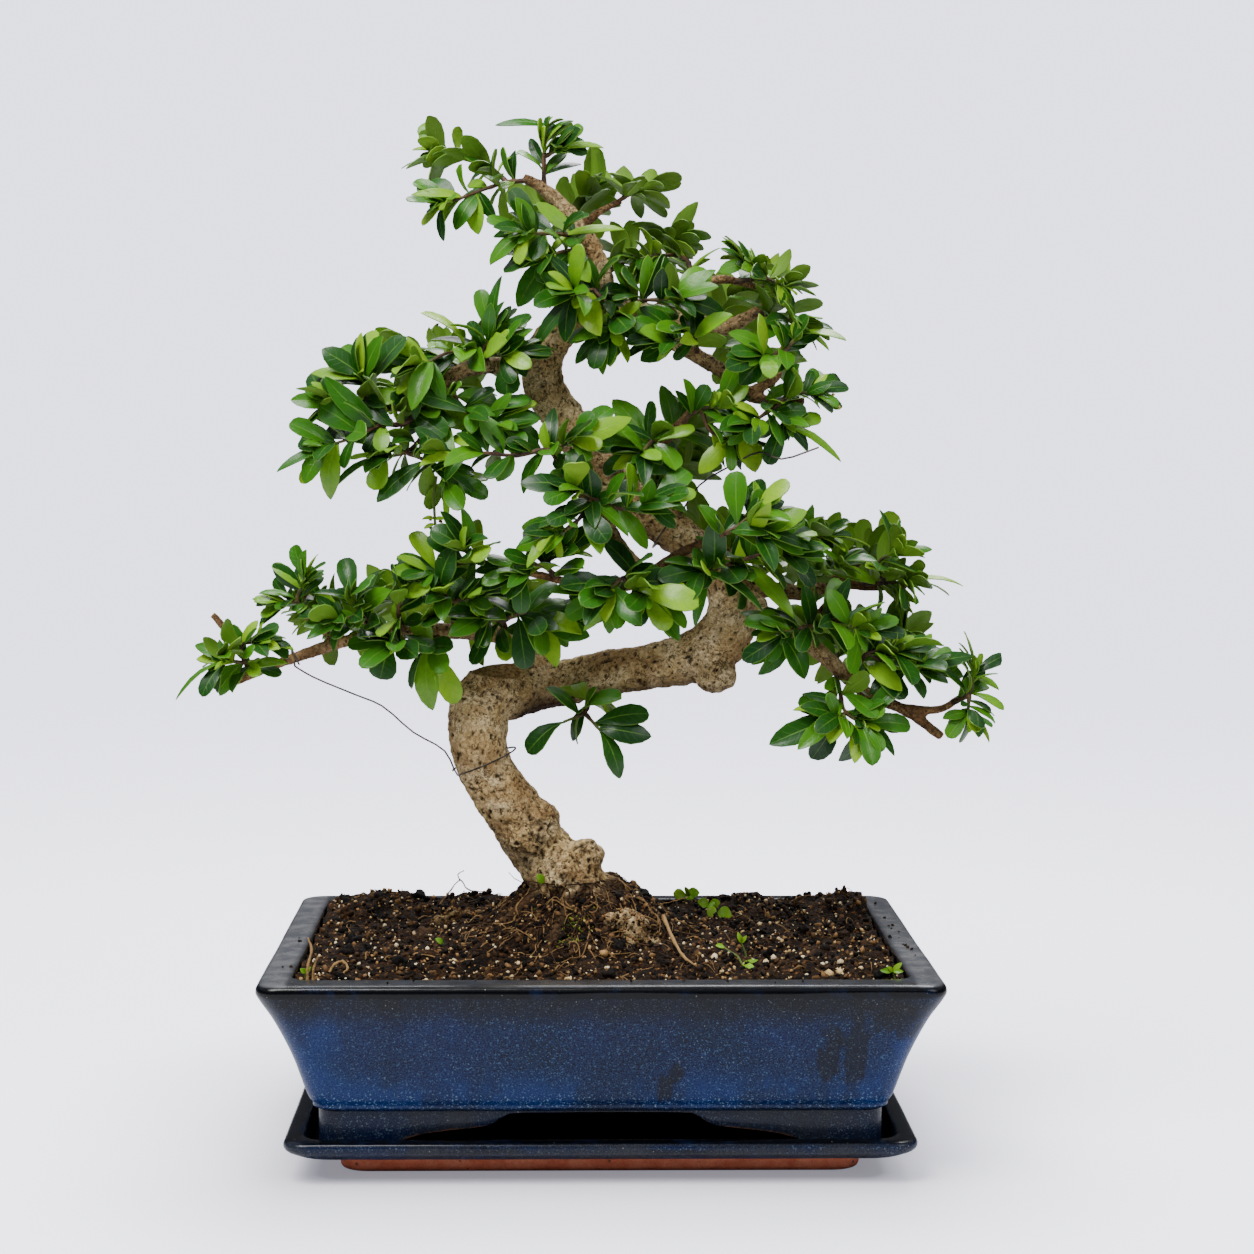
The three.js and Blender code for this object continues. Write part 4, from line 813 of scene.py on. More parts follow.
def makeTrunk():
    settings = woodSettings
    dice = random.Random(settings["seed"])
    lines = woodLines()
    bm = bmesh.new()
    bm.from_mesh(tubeMesh(list(lines.values()), 4))
    bm.from_mesh(tubeMesh(fineRoots(settings, dice), 1))
    for *centre, radius in burls:
        for i in range(7):
            shift = anyDirection(dice) * radius * 0.45
            if i == 0:
                shift = Vector()
            size = radius * (0.93 if i == 0 else dice.uniform(0.45, 0.62))
            place = Matrix.Translation((Vector(centre) + shift) * mm)
            bmesh.ops.create_icosphere(bm, subdivisions=3, radius=size * mm, matrix=place)
    trunk = newPiece("trunk_wood", meshFrom(bm, "trunk"), [barkMaterial()], ["trunk"])
    mesh = oneSkin(trunk, settings)
    weatherSkin(mesh, trunkWeather(lines, settings))
    print("trunk made with", len(mesh.polygons), "faces")
def insideTray(x, y, settings):
    halfX, halfY, corner = settings["half length"], settings["half width"], settings["corner"]
    centre = Vector((math.copysign(halfX - corner, x), math.copysign(halfY - corner, y)))
    away = Vector((x, y)) - centre
    if abs(x) > halfX - corner and abs(y) > halfY - corner and away.length > corner:
        x, y = centre + away.normalized() * corner
    return x, y


def clumpHeight(x, y):
    return noise.fractal(Vector((x, y, 0)) / soilSettings["clump size"], 0.8, 2.1, 4)


def soilTop(x, y):
    settings = soilSettings
    clumps = clumpHeight(x, y)
    shoulder = settings["shoulder"]
    away = math.hypot(x - settings["mound"][0], y - settings["mound"][1])
    near = math.exp(-((away - shoulder["away"]) / shoulder["wide"]) ** 2)
    banks = sum(rise * math.exp(-((x - bankX) ** 2 + (y - bankY) ** 2) / wide ** 2)
                for (bankX, bankY), wide, rise in settings["banks"])
    return soilHeight(x, y) + clumps * (settings["clump"] + near) + near * shoulder["rise"] + banks


# Whether a place is this far from the middle of the mound.
def nearMound(low, high, centre):
    return lambda x, y: low <= math.hypot(x - centre[0], y - centre[1]) < high


onMound = nearMound(13, 36, (-8, 4))
offTrunk = nearMound(17, 999, (-8, 1))


def soilMaterial():
    paint = newPaint("potting soil", Specular_IOR_Level=0.12)
    fleck = paint.flecks(800.0, 110.0, 330.0, 0.14)
    warm = paint.noise(420.0, 3.0, 0.6, 0.56, 0.68)
    # The last layer paints the dips between clumps near black: painted shade.
    color = paint.layers((7, 4, 3), ((30, 19, 11), fleck["Coarse"]), ((60, 40, 23), fleck["Fine"], 0.75),
                         ((112, 76, 42), warm, 0.8), ((150, 114, 70), fleck["Spots"], 0.8),
                         ((5, 3, 2), paint.value("hollowShade")))
    relief = paint.plus(fleck["Fine"], fleck["Coarse"])
    return paint.finish(color, paint.ramp(fleck["Fine"], 0.0, 1.0, 0.8, 1.0), (relief, 0.9, 0.6))


# One finish for crumbs, grains, roots, moss and buds: a ramp of colours read by the piece's shade attribute.
def scrapMaterial(name, stops, roughness, mottle):
    paint = newPaint(name, Specular_IOR_Level=0.2)
    fleck = paint.flecks(1500.0, 350.0, 500.0, 0.15)
    color = paint.over(paint.colorRamp(paint.value("shade"), stops), (120, 96, 70), fleck["Coarse"], mottle,
                       "MULTIPLY")
    rough = paint.ramp(fleck["Fine"], 0.0, 1.0, roughness - 0.12, min(1, roughness + 0.1))
    return paint.finish(color, rough, (fleck["Fine"], 0.5, 0.2))


def shadedCopy(bm, shape, matrix, shade):
    copy = shape.copy()
    copy.transform(matrix)
    pour(bm, copy, shade=shade)


# Uneven pebble shapes of unit size.
def pebbles(count, dice, subdivisions, unevenness):
    shapes = []
    for _ in range(count):
        bm = bmesh.new()
        bmesh.ops.create_icosphere(bm, subdivisions=subdivisions, radius=1)
        shift = anyDirection(dice) * 9
        for vert in bm.verts:
            vert.co *= 1 + unevenness * noise.noise(vert.co * 1.3 + shift)
            vert.co += vert.co * 0.25 * unevenness * noise.noise(vert.co * 3.7 - shift)
        shapes.append(meshFrom(bm, "pebble"))
        setValues(shapes[-1], "shade", 0.0)
    return shapes


def scatterSpot(dice, settings, margin):
    x = dice.uniform(-1, 1) * (settings["half length"] - margin)
    y = dice.uniform(-1, 1) * (settings["half width"] - margin)
    return insideTray(x, y, settings)


def scatter(bm, shapes, count, dice, sizes, shades, sink, keep=None):
    placed = 0
    while placed < count:
        size = dice.uniform(*sizes) * dice.uniform(0.6, 1)
        x, y = scatterSpot(dice, soilSettings, size + 0.6)
        if keep and not keep(x, y):
            continue
        squash = Vector((dice.uniform(0.7, 1.2), dice.uniform(0.7, 1.2), dice.uniform(0.5, 0.9)))
        matrix = matrixAt((x, y, soilTop(x, y) + size * (1 - 2 * sink)), anyTurn(dice), squash * size)
        shadedCopy(bm, dice.choice(shapes), matrix, dice.uniform(*shades))
        placed += 1


# Bark fibres and dry rootlets: short bent threads that lie on the soil.
def soilThreads(settings, dice):
    lines = []
    for i in range(settings["fibres"]):
        byMound = i % 2 == 0
        if byMound:
            angle, away = dice.uniform(0, 2 * math.pi), dice.uniform(17, 44)
            x, y = Vector((-8, 2)) + around(angle).xy * away
        else:
            x, y = scatterSpot(dice, settings, 8)
        heading = dice.uniform(0, 2 * math.pi)
        length = dice.uniform(3, 14 if byMound else 9)
        radius = dice.uniform(0.14, 0.4)
        curl = dice.uniform(-0.7, 0.7)
        arch = dice.uniform(0, 1.6)
        rows = []
        for step in range(5):
            x, y = Vector((x, y)) + around(heading).xy * length / 4
            heading += curl * dice.uniform(0.3, 1)
            x, y = insideTray(min(110, max(-110, x)), min(78, max(-78, y)), settings)
            lift = radius + arch * math.sin(math.pi * step / 4)
            rows.append((x, y, soilTop(x, y) + lift, radius * (1 - 0.12 * step)))
        lines.append(smoothLine(rows, 2))
    return lines


# Crumbs that lie on the pot's rim.
def rimCrumbs(bm, shapes, count, dice):
    for _ in range(count):
        onSide = dice.random() < 0.5
        along, across = dice.uniform(-1, 1), dice.uniform(5, 10.5)
        if onSide:
            x, y = dice.choice((-1, 1, 1)) * (potSettings["length"] / 2 - across), along * 84
        else:
            x, y = along * 112, dice.choice((-1, -1, 1)) * (potSettings["width"] / 2 - across)
        size = dice.uniform(0.3, 1.0)
        place = matrixAt((x, y, 75.9 + size * 0.3), anyTurn(dice), (size, size * 0.8, size * 0.6))
        shadedCopy(bm, dice.choice(shapes), place, dice.uniform(0.2, 0.8))


# Pale stones and bits that the photo shows: place, half size, shade.
chosenGrains = [
    ((89.5, -54.7), (2.6, 1.9, 1.3), 0.55), ((84.1, -66), (2.2, 1.5, 1.6), 0.5),
    ((1.5, -42), (2.6, 1.9, 1.5), 0.2), ((91, -42), (1.5, 1.2, 1.0), 0.8), ((78, -30), (1.3, 1.0, 0.9), 0.9),
]

# Two old root ends that show above the soil, as overlapping lumps: half size, x, y, height over the soil.
rootLumps = [
    (6.4, 9.5, -23, 1), (6.8, 14, -25, 1), (5.4, 19, -27, 0.4), (3.4, 3.5, -25, 0.2), (3, 12, -31, 0),
    (4, -64, 36, 0.8), (4.6, -58.5, 35, 1.2), (4.2, -53, 33, 0.8), (2.8, -49, 32, 0.4),
]

rootSettings = {
    "voxel": 0.55, "smooth": 2,
    "rough": 1.2, "rough size": 4.5, "pit depth": 0.6, "pit size": 1.7,
    "crust": 24,                                        # crumbs for each mm of a lump's size
    "seed": 21,
}


# Crumbs stuck all over the root ends.
def crustOn(bm, shapes, dice):
    for size, x, y, over in rootLumps:
        middle = Vector((x, y, soilTop(x, y) + over))
        for _ in range(round(size * rootSettings["crust"])):
            out = anyDirection(dice, -0.3).normalized()
            crumb = dice.uniform(0.25, 0.8)
            place = matrixAt(middle + out * size * 0.82, anyTurn(dice), (crumb, crumb * 0.8, crumb * 0.6))
            shadedCopy(bm, dice.choice(shapes), place, dice.choice((0.4, 0.8, 0.9, 1.0, 1.0)))


def rootWeather(place, normal):
    settings = rootSettings
    rough = noise.fractal(place / settings["rough size"], 0.8, 2.1, 4) * settings["rough"]
    pit = smoothStep((noise.noise(place / settings["pit size"]) - 0.24) / 0.2)
    low = smoothStep((soilTop(place.x, place.y) + 3.5 - place.z) / 4)
    grimeAndShade = min(1, 0.25 + 0.5 * low + 0.5 * abs(noise.noise(place / 3.1)))
    return rough - pit * settings["pit depth"], pit, grimeAndShade, 1.0, 0.0, 0.3


def makeRootEnds():
    settings = rootSettings
    dice = random.Random(settings["seed"])
    bm = bmesh.new()
    for size, x, y, over in rootLumps:
        place = matrixAt((x, y, soilTop(x, y) + over), anyTurn(dice), Vector((1, 0.85, 0.7)) * size)
        bmesh.ops.create_icosphere(bm, subdivisions=3, radius=1, matrix=place)
    bark = bpy.data.objects["trunk_wood"].data.materials[0]
    ends = newPiece("root_ends", meshFrom(bm, "root ends"), [bark])
    weatherSkin(oneSkin(ends, settings), rootWeather)


# Sticks and dry stems that lie or stand on the soil. A row is (x, y, height over the soil, radius).
sticks = [
    [(25, -10, 2.6, 0.8), (28, -24, 1.6, 0.75), (31.5, -40, 0.9, 0.6), (35.5, -57, 1.2, 0.4)],
    [(58.6, -15, 1.0, 0.55), (63, -16, 1.2, 0.6), (68.5, -17.5, 1.0, 0.45)],
    [(-107.6, -73.5, -1, 0.6), (-107.2, -73, 6, 0.55), (-106, -72, 12, 0.5), (-107.4, -71, 17, 0.35)],
    [(-105.6, -73, -1, 0.5), (-105.2, -73, 5, 0.5), (-103.6, -73, 9, 0.35)],
    [(-101, -58, 0.2, 0.5), (-99, -56, 2.4, 0.6), (-96, -56, 3.2, 0.6), (-94, -58, 1.4, 0.5),
     (-96.5, -59, 0.4, 0.4)],
    [(-66, 66, 0, 0.35), (-62, 66, 5, 0.32), (-57, 67, 7.6, 0.3), (-54, 68, 3.5, 0.3), (-47, 69, 1.5, 0.25)],
    [(-57, 67, 7.2, 0.3), (-58, 67, 10.5, 0.28), (-55.5, 67, 11.5, 0.22)],
    [(-20, 30, 2, 0.2), (-33, 28, 9, 0.18), (-36, 28, 14, 0.14)],
    [(24, 22, 2, 0.22), (30, 20, 7, 0.2), (36, 19, 9.5, 0.15)],
]


def looseSticks():
    lines = []
    for rows in sticks:
        line = smoothLine([(x, y, soilTop(x, y) + over, radius) for x, y, over, radius in rows], 4)
        lines.append([(point + upward * 0.12 * (-1) ** i, radius * (1 + 0.12 * (-1) ** (i // 2)))
                      for i, (point, radius) in enumerate(line)])
    return lines


# Fine roots that cling to the foot of the trunk and to the mound round it.
rootTangle = {
    "count": 300, "step": 1.5, "steps": (5, 15), "heights": (76, 98), "lowest": 75, "highest": 99,
    "radius": (0.13, 0.4), "wander": 0.5, "lift": 0.5,
}


def clingingRoots(settings, dice):
    bark = searchTree(bpy.data.objects["trunk_wood"].data)
    centre = Vector((*soilSettings["mound"], 0))

    def skinAt(angle, height):
        out, lift = around(angle), upward * height
        place, _, _, _ = bark.ray_cast(centre + out * 60 + lift, -out, 60)
        reach = (place - centre).xy.length if place else 0
        for ring in range(48, 4, -1):
            if ring <= reach:
                break
            x, y = centre.xy + out.xy * ring
            if soilTop(x, y) >= height:
                reach = ring
                break
        return centre + out * (reach + settings["lift"]) + lift

    lines = []
    for _ in range(settings["count"]):
        angle = dice.uniform(0, 2 * math.pi)
        height = dice.uniform(*settings["heights"])
        heading = dice.choice((-1, 1)) * dice.uniform(0.2, 1.7)
        curl = dice.uniform(-0.25, 0.25)
        radius = dice.uniform(*settings["radius"])
        rows = []
        for step in range(dice.randint(*settings["steps"])):
            rows.append((*skinAt(angle, height), radius * (1 - 0.03 * step)))
            heading += curl + dice.uniform(-1, 1) * settings["wander"]
            angle += math.cos(heading) * settings["step"] / 24
            height -= math.sin(heading) * settings["step"]
            height = min(settings["highest"], max(settings["lowest"], height))
        lines.append(smoothLine(rows, 2))
    return lines


# The heap itself, from a grid: its top follows soilTop, its sides draw in to a flat bottom.
def makeHeap():
    settings = soilSettings
    halfX, halfY = settings["half length"], settings["half width"]
    bm = bmesh.new()
    bmesh.ops.create_grid(bm, x_segments=round(2 * halfX / settings["cell"]),
                          y_segments=round(2 * halfY / settings["cell"]), size=1)
    rim = [edge for edge in bm.edges if edge.is_boundary]
    for vert in bm.verts:
        x, y = insideTray(vert.co.x * halfX, vert.co.y * halfY, settings)
        vert.co = Vector((x, y, soilTop(x, y))) * mm
    skirt = bmesh.ops.extrude_edge_only(bm, edges=rim)["geom"]
    drawX, drawY = settings["skirt"]
    for vert in (part for part in skirt if isinstance(part, bmesh.types.BMVert)):
        vert.co = Vector((vert.co.x * drawX, vert.co.y * drawY, settings["bottom"] * mm))
    bmesh.ops.contextual_create(bm, geom=[part for part in skirt if isinstance(part, bmesh.types.BMEdge)])
    bmesh.ops.recalc_face_normals(bm, faces=bm.faces)
    mesh = meshFrom(bm, "soil", 60)
    # Where the clumps dip, for the painted shade there.
    setValues(mesh, "hollowShade", [0.9 * smoothStep(0.35 - 1.3 * clumpHeight(vert.co.x / mm, vert.co.y / mm))
                               for vert in mesh.vertices])
    newPiece("soil_heap", mesh, [soilMaterial()], ["soil"])


def makeSoil():
    settings = soilSettings
    dice = random.Random(settings["seed"])
    makeHeap()

    crumbShapes = pebbles(9, dice, 1, 0.9)
    clodShapes = pebbles(5, dice, 3, 1.0)
    bm = bmesh.new()
    scatter(bm, crumbShapes, settings["crumbs"], dice, (0.4, 1.75), (0.0, 1.0), 0.34)
    scatter(bm, crumbShapes, settings["mound crumbs"], dice, (0.4, 1.5), (0.0, 1.0), 0.3, onMound)
    scatter(bm, clodShapes, settings["clods"], dice, (1.8, 3.6), (0.0, 0.8), 0.55, offTrunk)
    crustOn(bm, crumbShapes, dice)
    rimCrumbs(bm, crumbShapes, settings["rim crumbs"], dice)
    stops = [(0.0, (6, 4, 3)), (0.5, (26, 17, 10)), (0.8, (76, 53, 31)), (1.0, (160, 122, 78))]
    crumbPaint = scrapMaterial("soil crumb", stops, 0.9, 0.6)
    newPiece("soil_crumbs", meshFrom(bm, "crumbs"), [crumbPaint])

    grainShapes = pebbles(7, dice, 1, 0.5)
    bm = bmesh.new()
    scatter(bm, grainShapes, settings["grains"], dice, (0.42, 0.98), (0.0, 1.0), 0.1)
    scatter(bm, grainShapes, settings["large grains"], dice, (1.0, 1.7), (0.3, 1.0), 0.35, offTrunk)
    for (x, y), size, shade in chosenGrains:
        place = matrixAt((x, y, soilTop(x, y) + size[2] * 0.45), Quaternion(upward, x), size)
        shadedCopy(bm, grainShapes[int(abs(x)) % len(grainShapes)], place, shade)
    stops = [(0.0, (138, 114, 66)), (0.08, (164, 120, 68)), (0.5, (222, 186, 126)), (1.0, (252, 238, 200))]
    newPiece("soil_grit", meshFrom(bm, "grit"), [scrapMaterial("grit", stops, 0.7, 0.35)])

    threads = soilThreads(settings, dice) + clingingRoots(rootTangle, dice)
    dice.shuffle(threads)
    third = len(threads) // 3
    bm = bmesh.new()
    for lines, roundness, shade in ((threads[:third], 0, 0.1), (threads[third:2 * third], 0, 0.4),
                                    (threads[2 * third:], 0, 0.75), (looseSticks(), 1, 0.92)):
        pour(bm, tubeMesh(lines, roundness), shade=shade)
    stops = [(0.0, (26, 17, 10)), (0.5, (76, 53, 31)), (1.0, (176, 140, 90))]
    fibrePaint = scrapMaterial("dry fibre", stops, 0.8, 0.4)
    newPiece("soil_fibres", meshFrom(bm, "fibres"), [fibrePaint])
    print("soil made")


makeTrunk()
makeSoil()
makeRootEnds()


# Leafy sprays. size is the usual leaf length. The first shoot of a spray starts in a branch, the others on it.
# A leaf is (shoot, place along it, reach in x, y and z, width, tone from dark 0 to yellow-green 2).

sprays = {
    "apex_crown": {
        "size": 11, "shoots": [[(-22, -3, 366), (-22, -3, 380), (-21, -3, 391)],
            [(-22, -3, 379), (-15, -9, 382)]],
        "leaves": [(0, 1, -19, -3, 2, 3.4, 1), (0, 1, 10, -5, 7, 3.4, 1), (0, 0.6, -4, -5, 12, 5.5, 2),
            (0, 0.57, 7, -7, 9, 4.7, 1), (1, 1, 15, -4, 2, 3.4, 2), (1, 0.65, 12, 1, -1, 3.4, 2)]},
    "apex_left": {
        "size": 13, "shoots": [
            [(-27, -4, 370), (-36, -6, 369), (-42, -9, 367), (-52, -12, 363), (-62, -14, 359)],
            [(-36, -6, 369), (-45, 2, 377), (-55, 5, 380), (-63, 4, 380)]],
        "leaves": [(1, 0.31, -8, -3, 12, 4.7, 0), (1, 0.45, -16, -6, 5, 4.3, 0), (1, 0.8, -12, -6, 0, 6.6, 2),
            (0, 0.74, -18, -5, 3, 3.9, 2), (0, 0.6, 1, -5, -16, 7, 2)]},
    "apex_right": {
        "size": 13, "shoots": [[(4, 3, 361), (10, 5, 365), (16, 7, 367)]],
        "leaves": [(0, 0.8, -9, -3, 9, 7.8, 2), (0, 0.5, -12, -9, 8, 4.7, 0)]},
    "apex_front": {
        "size": 14, "shoots": [[(-6, 0, 349), (-16, -12, 349), (-29, -18, 349)]],
        "leaves": [(0, 1, -14, -3, -11, 7.8, 1), (0, 0.4, 22, -9, 2, 3.6, 2)]},
    "apex_low": {
        "size": 15, "shoots": [[(-4, 0, 342), (-13, -10, 343), (-21, -15, 340)]],
        "leaves": [(0, 0.93, -13, -3, -18, 8.6, 1), (0, 0.8, -4, -6, -16, 4.9, 0),
            (0, 0.55, 8, -7, -12, 7, 2)]},
    "apex_back": {
        "size": 14, "shoots": [[(-10, 0, 354), (-11, 18, 357), (-6, 34, 362)], [(-11, 18, 357), (-24, 30, 359)],
            [(-11, 18, 357), (-2, 20, 368)]],
        "leaves": []},
    "shoulder": {
        "size": 15, "shoots": [[(0, 2, 334), (15, 10, 343), (28, 12, 347)]],
        "leaves": [(0, 0.45, -21, -6, 9, 8.6, 0), (0, 1, -15, -6, 10, 7, 0)]},
    "crown_front": {
        "size": 15, "shoots": [[(0, 3, 325), (-3, -14, 328), (-12, -22, 325)],
            [(-3, -14, 328), (5, -17, 318), (2, -19, 310)]],
        "leaves": [(0, 0.6, -27, -3, -19, 9.4, 0), (1, 0.7, 10, -6, 7, 4.7, 2), (1, 1, 0, -7, -9, 7.8, 0)]},
    "crown_mid": {
        "size": 16, "shoots": [[(12, 5, 320), (16, -12, 324), (28, -18, 324)]],
        "leaves": [(0, 0.7, 20, -3, 4, 8.6, 0)]},
    "top_up": {
        "size": 10, "shoots": [[(36, 4, 330), (33, 6, 341), (21, 4, 342), (13, 2, 340)]],
        "leaves": []},
    "top_right": {
        "size": 11, "shoots": [[(52, 1, 332), (64, -4, 333), (71, -8, 329)], [(64, -4, 333), (54, -8, 340)]],
        "leaves": [(1, 1, -8, -5, 7, 3.6, 1)]},
    "right_high": {
        "size": 14, "shoots": [[(59, 9, 320), (69, 2, 319), (76, -6, 315)]],
        "leaves": [(0, 0.35, -15, -8, 9, 4.9, 1)]},
    "right_mid": {
        "size": 14, "shoots": [[(66, -14, 300), (71, -17, 306), (76, -15, 312)],
            [(71, -17, 306), (60, -22, 301)]],
        "leaves": [(0, 1, 17, -5, 0, 7.8, 2), (1, 0.9, 2, -6, 16, 7.8, 2), (1, 0.9, -8, -8, -8, 7.8, 0)]},
    "right_low": {
        "size": 13, "shoots": [[(61, -14, 287), (65, -20, 283), (71, -22, 276)],
            [(65, -20, 283), (74, -22, 289), (82, -20, 288)], [(65, -20, 283), (55, -24, 276)]],
        "leaves": [(0, 0.62, 10, -6, 2, 6.2, 0), (0, 0.94, 22, -5, -9, 3.9, 2)]},
    "right_inner": {
        "size": 15, "shoots": [[(37, -6, 303), (35, -16, 310), (25, -20, 308)]],
        "leaves": [(0, 0.82, -14, -3, -7, 7.8, 0), (0, 0.5, 14, -9, 9, 7, 2)]},
    "right_back": {
        "size": 15, "shoots": [[(44, 9, 316), (49, 26, 319), (60, 42, 323)],
            [(49, 26, 319), (57, 36, 309), (66, 36, 301)], [(49, 26, 319), (38, 40, 322)],
            [(49, 26, 319), (62, 24, 328)]],
        "leaves": []},
    "mid_tip": {
        "size": 14, "shoots": [[(30, -15, 277), (38, -19, 283), (46, -21, 283)],
            [(38, -19, 283), (42, -18, 274), (51, -16, 271)]],
        "leaves": [(0, 0.4, 4, -8, 10, 6.2, 0), (1, 0.91, -12, -5, -13, 7, 2), (1, 1, 5, -6, -9, 5.5, 2)]},
    "mid_fork": {
        "size": 15, "shoots": [[(18, -8, 266), (20, -20, 271), (14, -28, 265)],
            [(20, -18, 271), (30, -4, 272), (36, 12, 276)]],
        "leaves": [(0, 0.5, -18, -6, 8, 5.5, 0), (0, 1, 12, -6, -5, 8.6, 0)]},
    "left_high": {
        "size": 15, "shoots": [[(-42, -8, 299), (-45, -14, 305), (-40, -17, 311)],
            [(-45, -14, 304), (-35, -20, 302)], [(-45, -14, 304), (-57, -20, 304), (-69, -23, 298)]],
        "leaves": [(0, 1, -2, -3, 21, 5.5, 0), (1, 0.8, 17, -4, 4, 6.2, 0), (1, 1, -1, -5, -14, 9.4, 0),
            (0, 0.5, -20, -4, 4, 6.2, 0), (0, 0.7, -13, -5, 10, 6.2, 1)]},
    "left_end": {
        "size": 17, "shoots": [[(-85, -16, 284), (-88, -21, 288), (-91, -22, 295)],
            [(-88, -21, 288), (-93, -26, 281), (-102, -26, 284)]],
        "leaves": [(0, 1, -14, -3, 10, 8.6, 0), (0, 0.5, 12, -4, 22, 11.7, 0), (1, 1, -14, -3, -8, 3.9, 0)]},
    "left_low": {
        "size": 15, "shoots": [
            [(-69, -15, 285), (-74, -24, 277), (-84, -28, 276), (-92, -30, 272), (-104, -30, 268)]],
        "leaves": [(0, 0.55, -19, -5, 18, 7.8, 1), (0, 0.45, -7, -8, 19, 8.6, 0), (0, 1, -18, -3, -9, 3.9, 1),
            (0, 1, -8, -4, -13, 7, 1), (0, 0.71, -7, -6, -10, 6.2, 0)]},
    "left_under": {
        "size": 14, "shoots": [[(-62, -14, 291), (-66, -20, 275), (-74, -26, 266), (-84, -28, 264)],
            [(-74, -26, 266), (-65, -28, 262), (-58, -27, 254)]],
        "leaves": [(0, 1, -19, -3, -8, 3.9, 1), (0, 0.92, -5, -7, -12, 7.8, 2), (1, 0.4, -18, -6, -15, 7.8, 0),
            (1, 0.5, 19, -4, -12, 5.5, 0), (1, 1, 0, -2, -14, 3.4, 2)]},
    "left_inner": {
        "size": 15, "shoots": [[(-58, -13, 292), (-52, -22, 282), (-38, -24, 276)]],
        "leaves": [(0, 0.6, -20, -5, 8, 7.8, 0), (0, 0.7, 18, -4, 8, 8.6, 1)]},
    "left_back": {
        "size": 15, "shoots": [[(-51, -12, 298), (-58, 8, 297), (-68, 28, 294), (-80, 38, 288)],
            [(-58, 8, 297), (-44, 26, 301)], [(-68, 28, 294), (-62, 44, 296)], [(-58, 8, 297), (-76, 14, 302)]],
        "leaves": []},
    "centre_tip": {
        "size": 14, "shoots": [
            [(-16, -26, 262), (-20, -31, 267), (-32, -33, 265), (-46, -32, 266), (-59, -30, 265)],
            [(-20, -31, 267), (-9, -36, 271)]],
        "leaves": [(1, 0.6, 24, -5, 10, 7.8, 2), (0, 0.82, -9, -6, -8, 4.7, 0)]},
    "centre_front": {
        "size": 15, "shoots": [[(-1, -28, 243), (-4, -37, 249), (-10, -40, 253)],
            [(-4, -37, 249), (-9, -43, 241), (-17, -42, 235)], [(-4, -37, 249), (9, -38, 245), (20, -38, 247)]],
        "leaves": [(0, 0.5, -1, -8, 12, 7.8, 0), (0, 1, -20, -3, 3, 8.6, 0), (1, 0.5, -19, -3, 1, 6.2, 0),
            (1, 0.9, -16, -3, -3, 5.5, 1), (2, 0.5, 18, -5, 0, 5.5, 0)]},
    "centre_back": {
        "size": 15, "shoots": [[(16, 10, 245), (19, 30, 250), (28, 48, 254)], [(19, 30, 250), (4, 44, 256)],
            [(19, 30, 250), (34, 30, 260)]],
        "leaves": []},
    "heart_left": {
        "size": 13, "shoots": [[(-38, -30, 223), (-47, -28, 225), (-57, -26, 223), (-67, -26, 219)],
            [(-47, -28, 225), (-52, -36, 230)]],
        "leaves": []},
    "heart_mid_left": {
        "size": 14, "shoots": [[(-16, -27, 218), (-23, -34, 224), (-31, -36, 221)],
            [(-23, -34, 224), (-14, -38, 229)]],
        "leaves": []},
    "heart_front": {
        "size": 17, "shoots": [[(18, -18, 216), (8, -32, 219), (2, -37, 213)], [(8, -32, 219), (16, -38, 212)]],
        "leaves": [(0, 0.63, -18, -4, -13, 9, 0), (0, 0.8, -10, -7, -16, 5.5, 2), (1, 0.9, 10, -6, -12, 7.8, 2),
            (1, 0.5, 2, -8, -13, 7.8, 0)]},
    "heart_right": {
        "size": 15, "shoots": [[(40, -31, 233), (50, -37, 238), (58, -38, 245)],
            [(50, -37, 238), (61, -40, 236)]],
        "leaves": [(0, 0.96, 12, -5, 10, 3.9, 1)]},
    "knee_back": {
        "size": 15, "shoots": [[(50, 6, 219), (50, 26, 226), (58, 42, 229)], [(50, 26, 226), (38, 42, 232)],
            [(50, 26, 226), (64, 24, 236)]],
        "leaves": []},
    "knee_fork": {
        "size": 15, "shoots": [[(48, 3, 217), (52, -15, 224), (70, -24, 230)],
            [(52, -15, 224), (38, -30, 221)]],
        "leaves": [(1, 0.95, -3, -9, -18, 4.7, 1), (0, 1, 11, -4, -14, 6.2, 0), (0, 0.5, 22, -9, -19, 7.8, 2),
            (1, 1, 24, -6, -11, 7, 0)]},
    "knee_high": {
        "size": 15, "shoots": [[(57, 5, 212), (68, 5, 224), (73, 1, 234), (88, -3, 233)]],
        "leaves": [(0, 0.6, -18, -3, 20, 3.9, 0), (0, 0.55, 1, -9, 10, 5.5, 1), (0, 0.4, 5, -7, -18, 8.6, 0),
            (0, 1, -2, -7, 8, 3.4, 0), (0, 0.75, 12, -6, -5, 4.7, 0)]},
    "right_upper_tip": {
        "size": 13, "shoots": [[(103, 15, 214), (112, 6, 215), (121, 2, 216)],
            [(112, 6, 215), (109, 3, 223), (115, 1, 228)]],
        "leaves": [(0, 0.4, 2, -6, -10, 5.5, 0), (0, 0.6, 6, -6, -8, 4.7, 0), (0, 0.98, 20, -4, 4, 3.4, 2),
            (1, 1, 3, -6, 10, 5.1, 2)]},
    "right_upper_mid": {
        "size": 14, "shoots": [[(79, 13, 211), (82, 0, 220), (93, -6, 222)]],
        "leaves": [(0, 1, -6, -7, 7, 4.7, 1)]},
    "right_upper_back": {
        "size": 15, "shoots": [[(86, 14, 212), (92, 30, 218), (103, 44, 222)], [(92, 30, 218), (78, 42, 223)],
            [(92, 30, 218), (110, 26, 226)]],
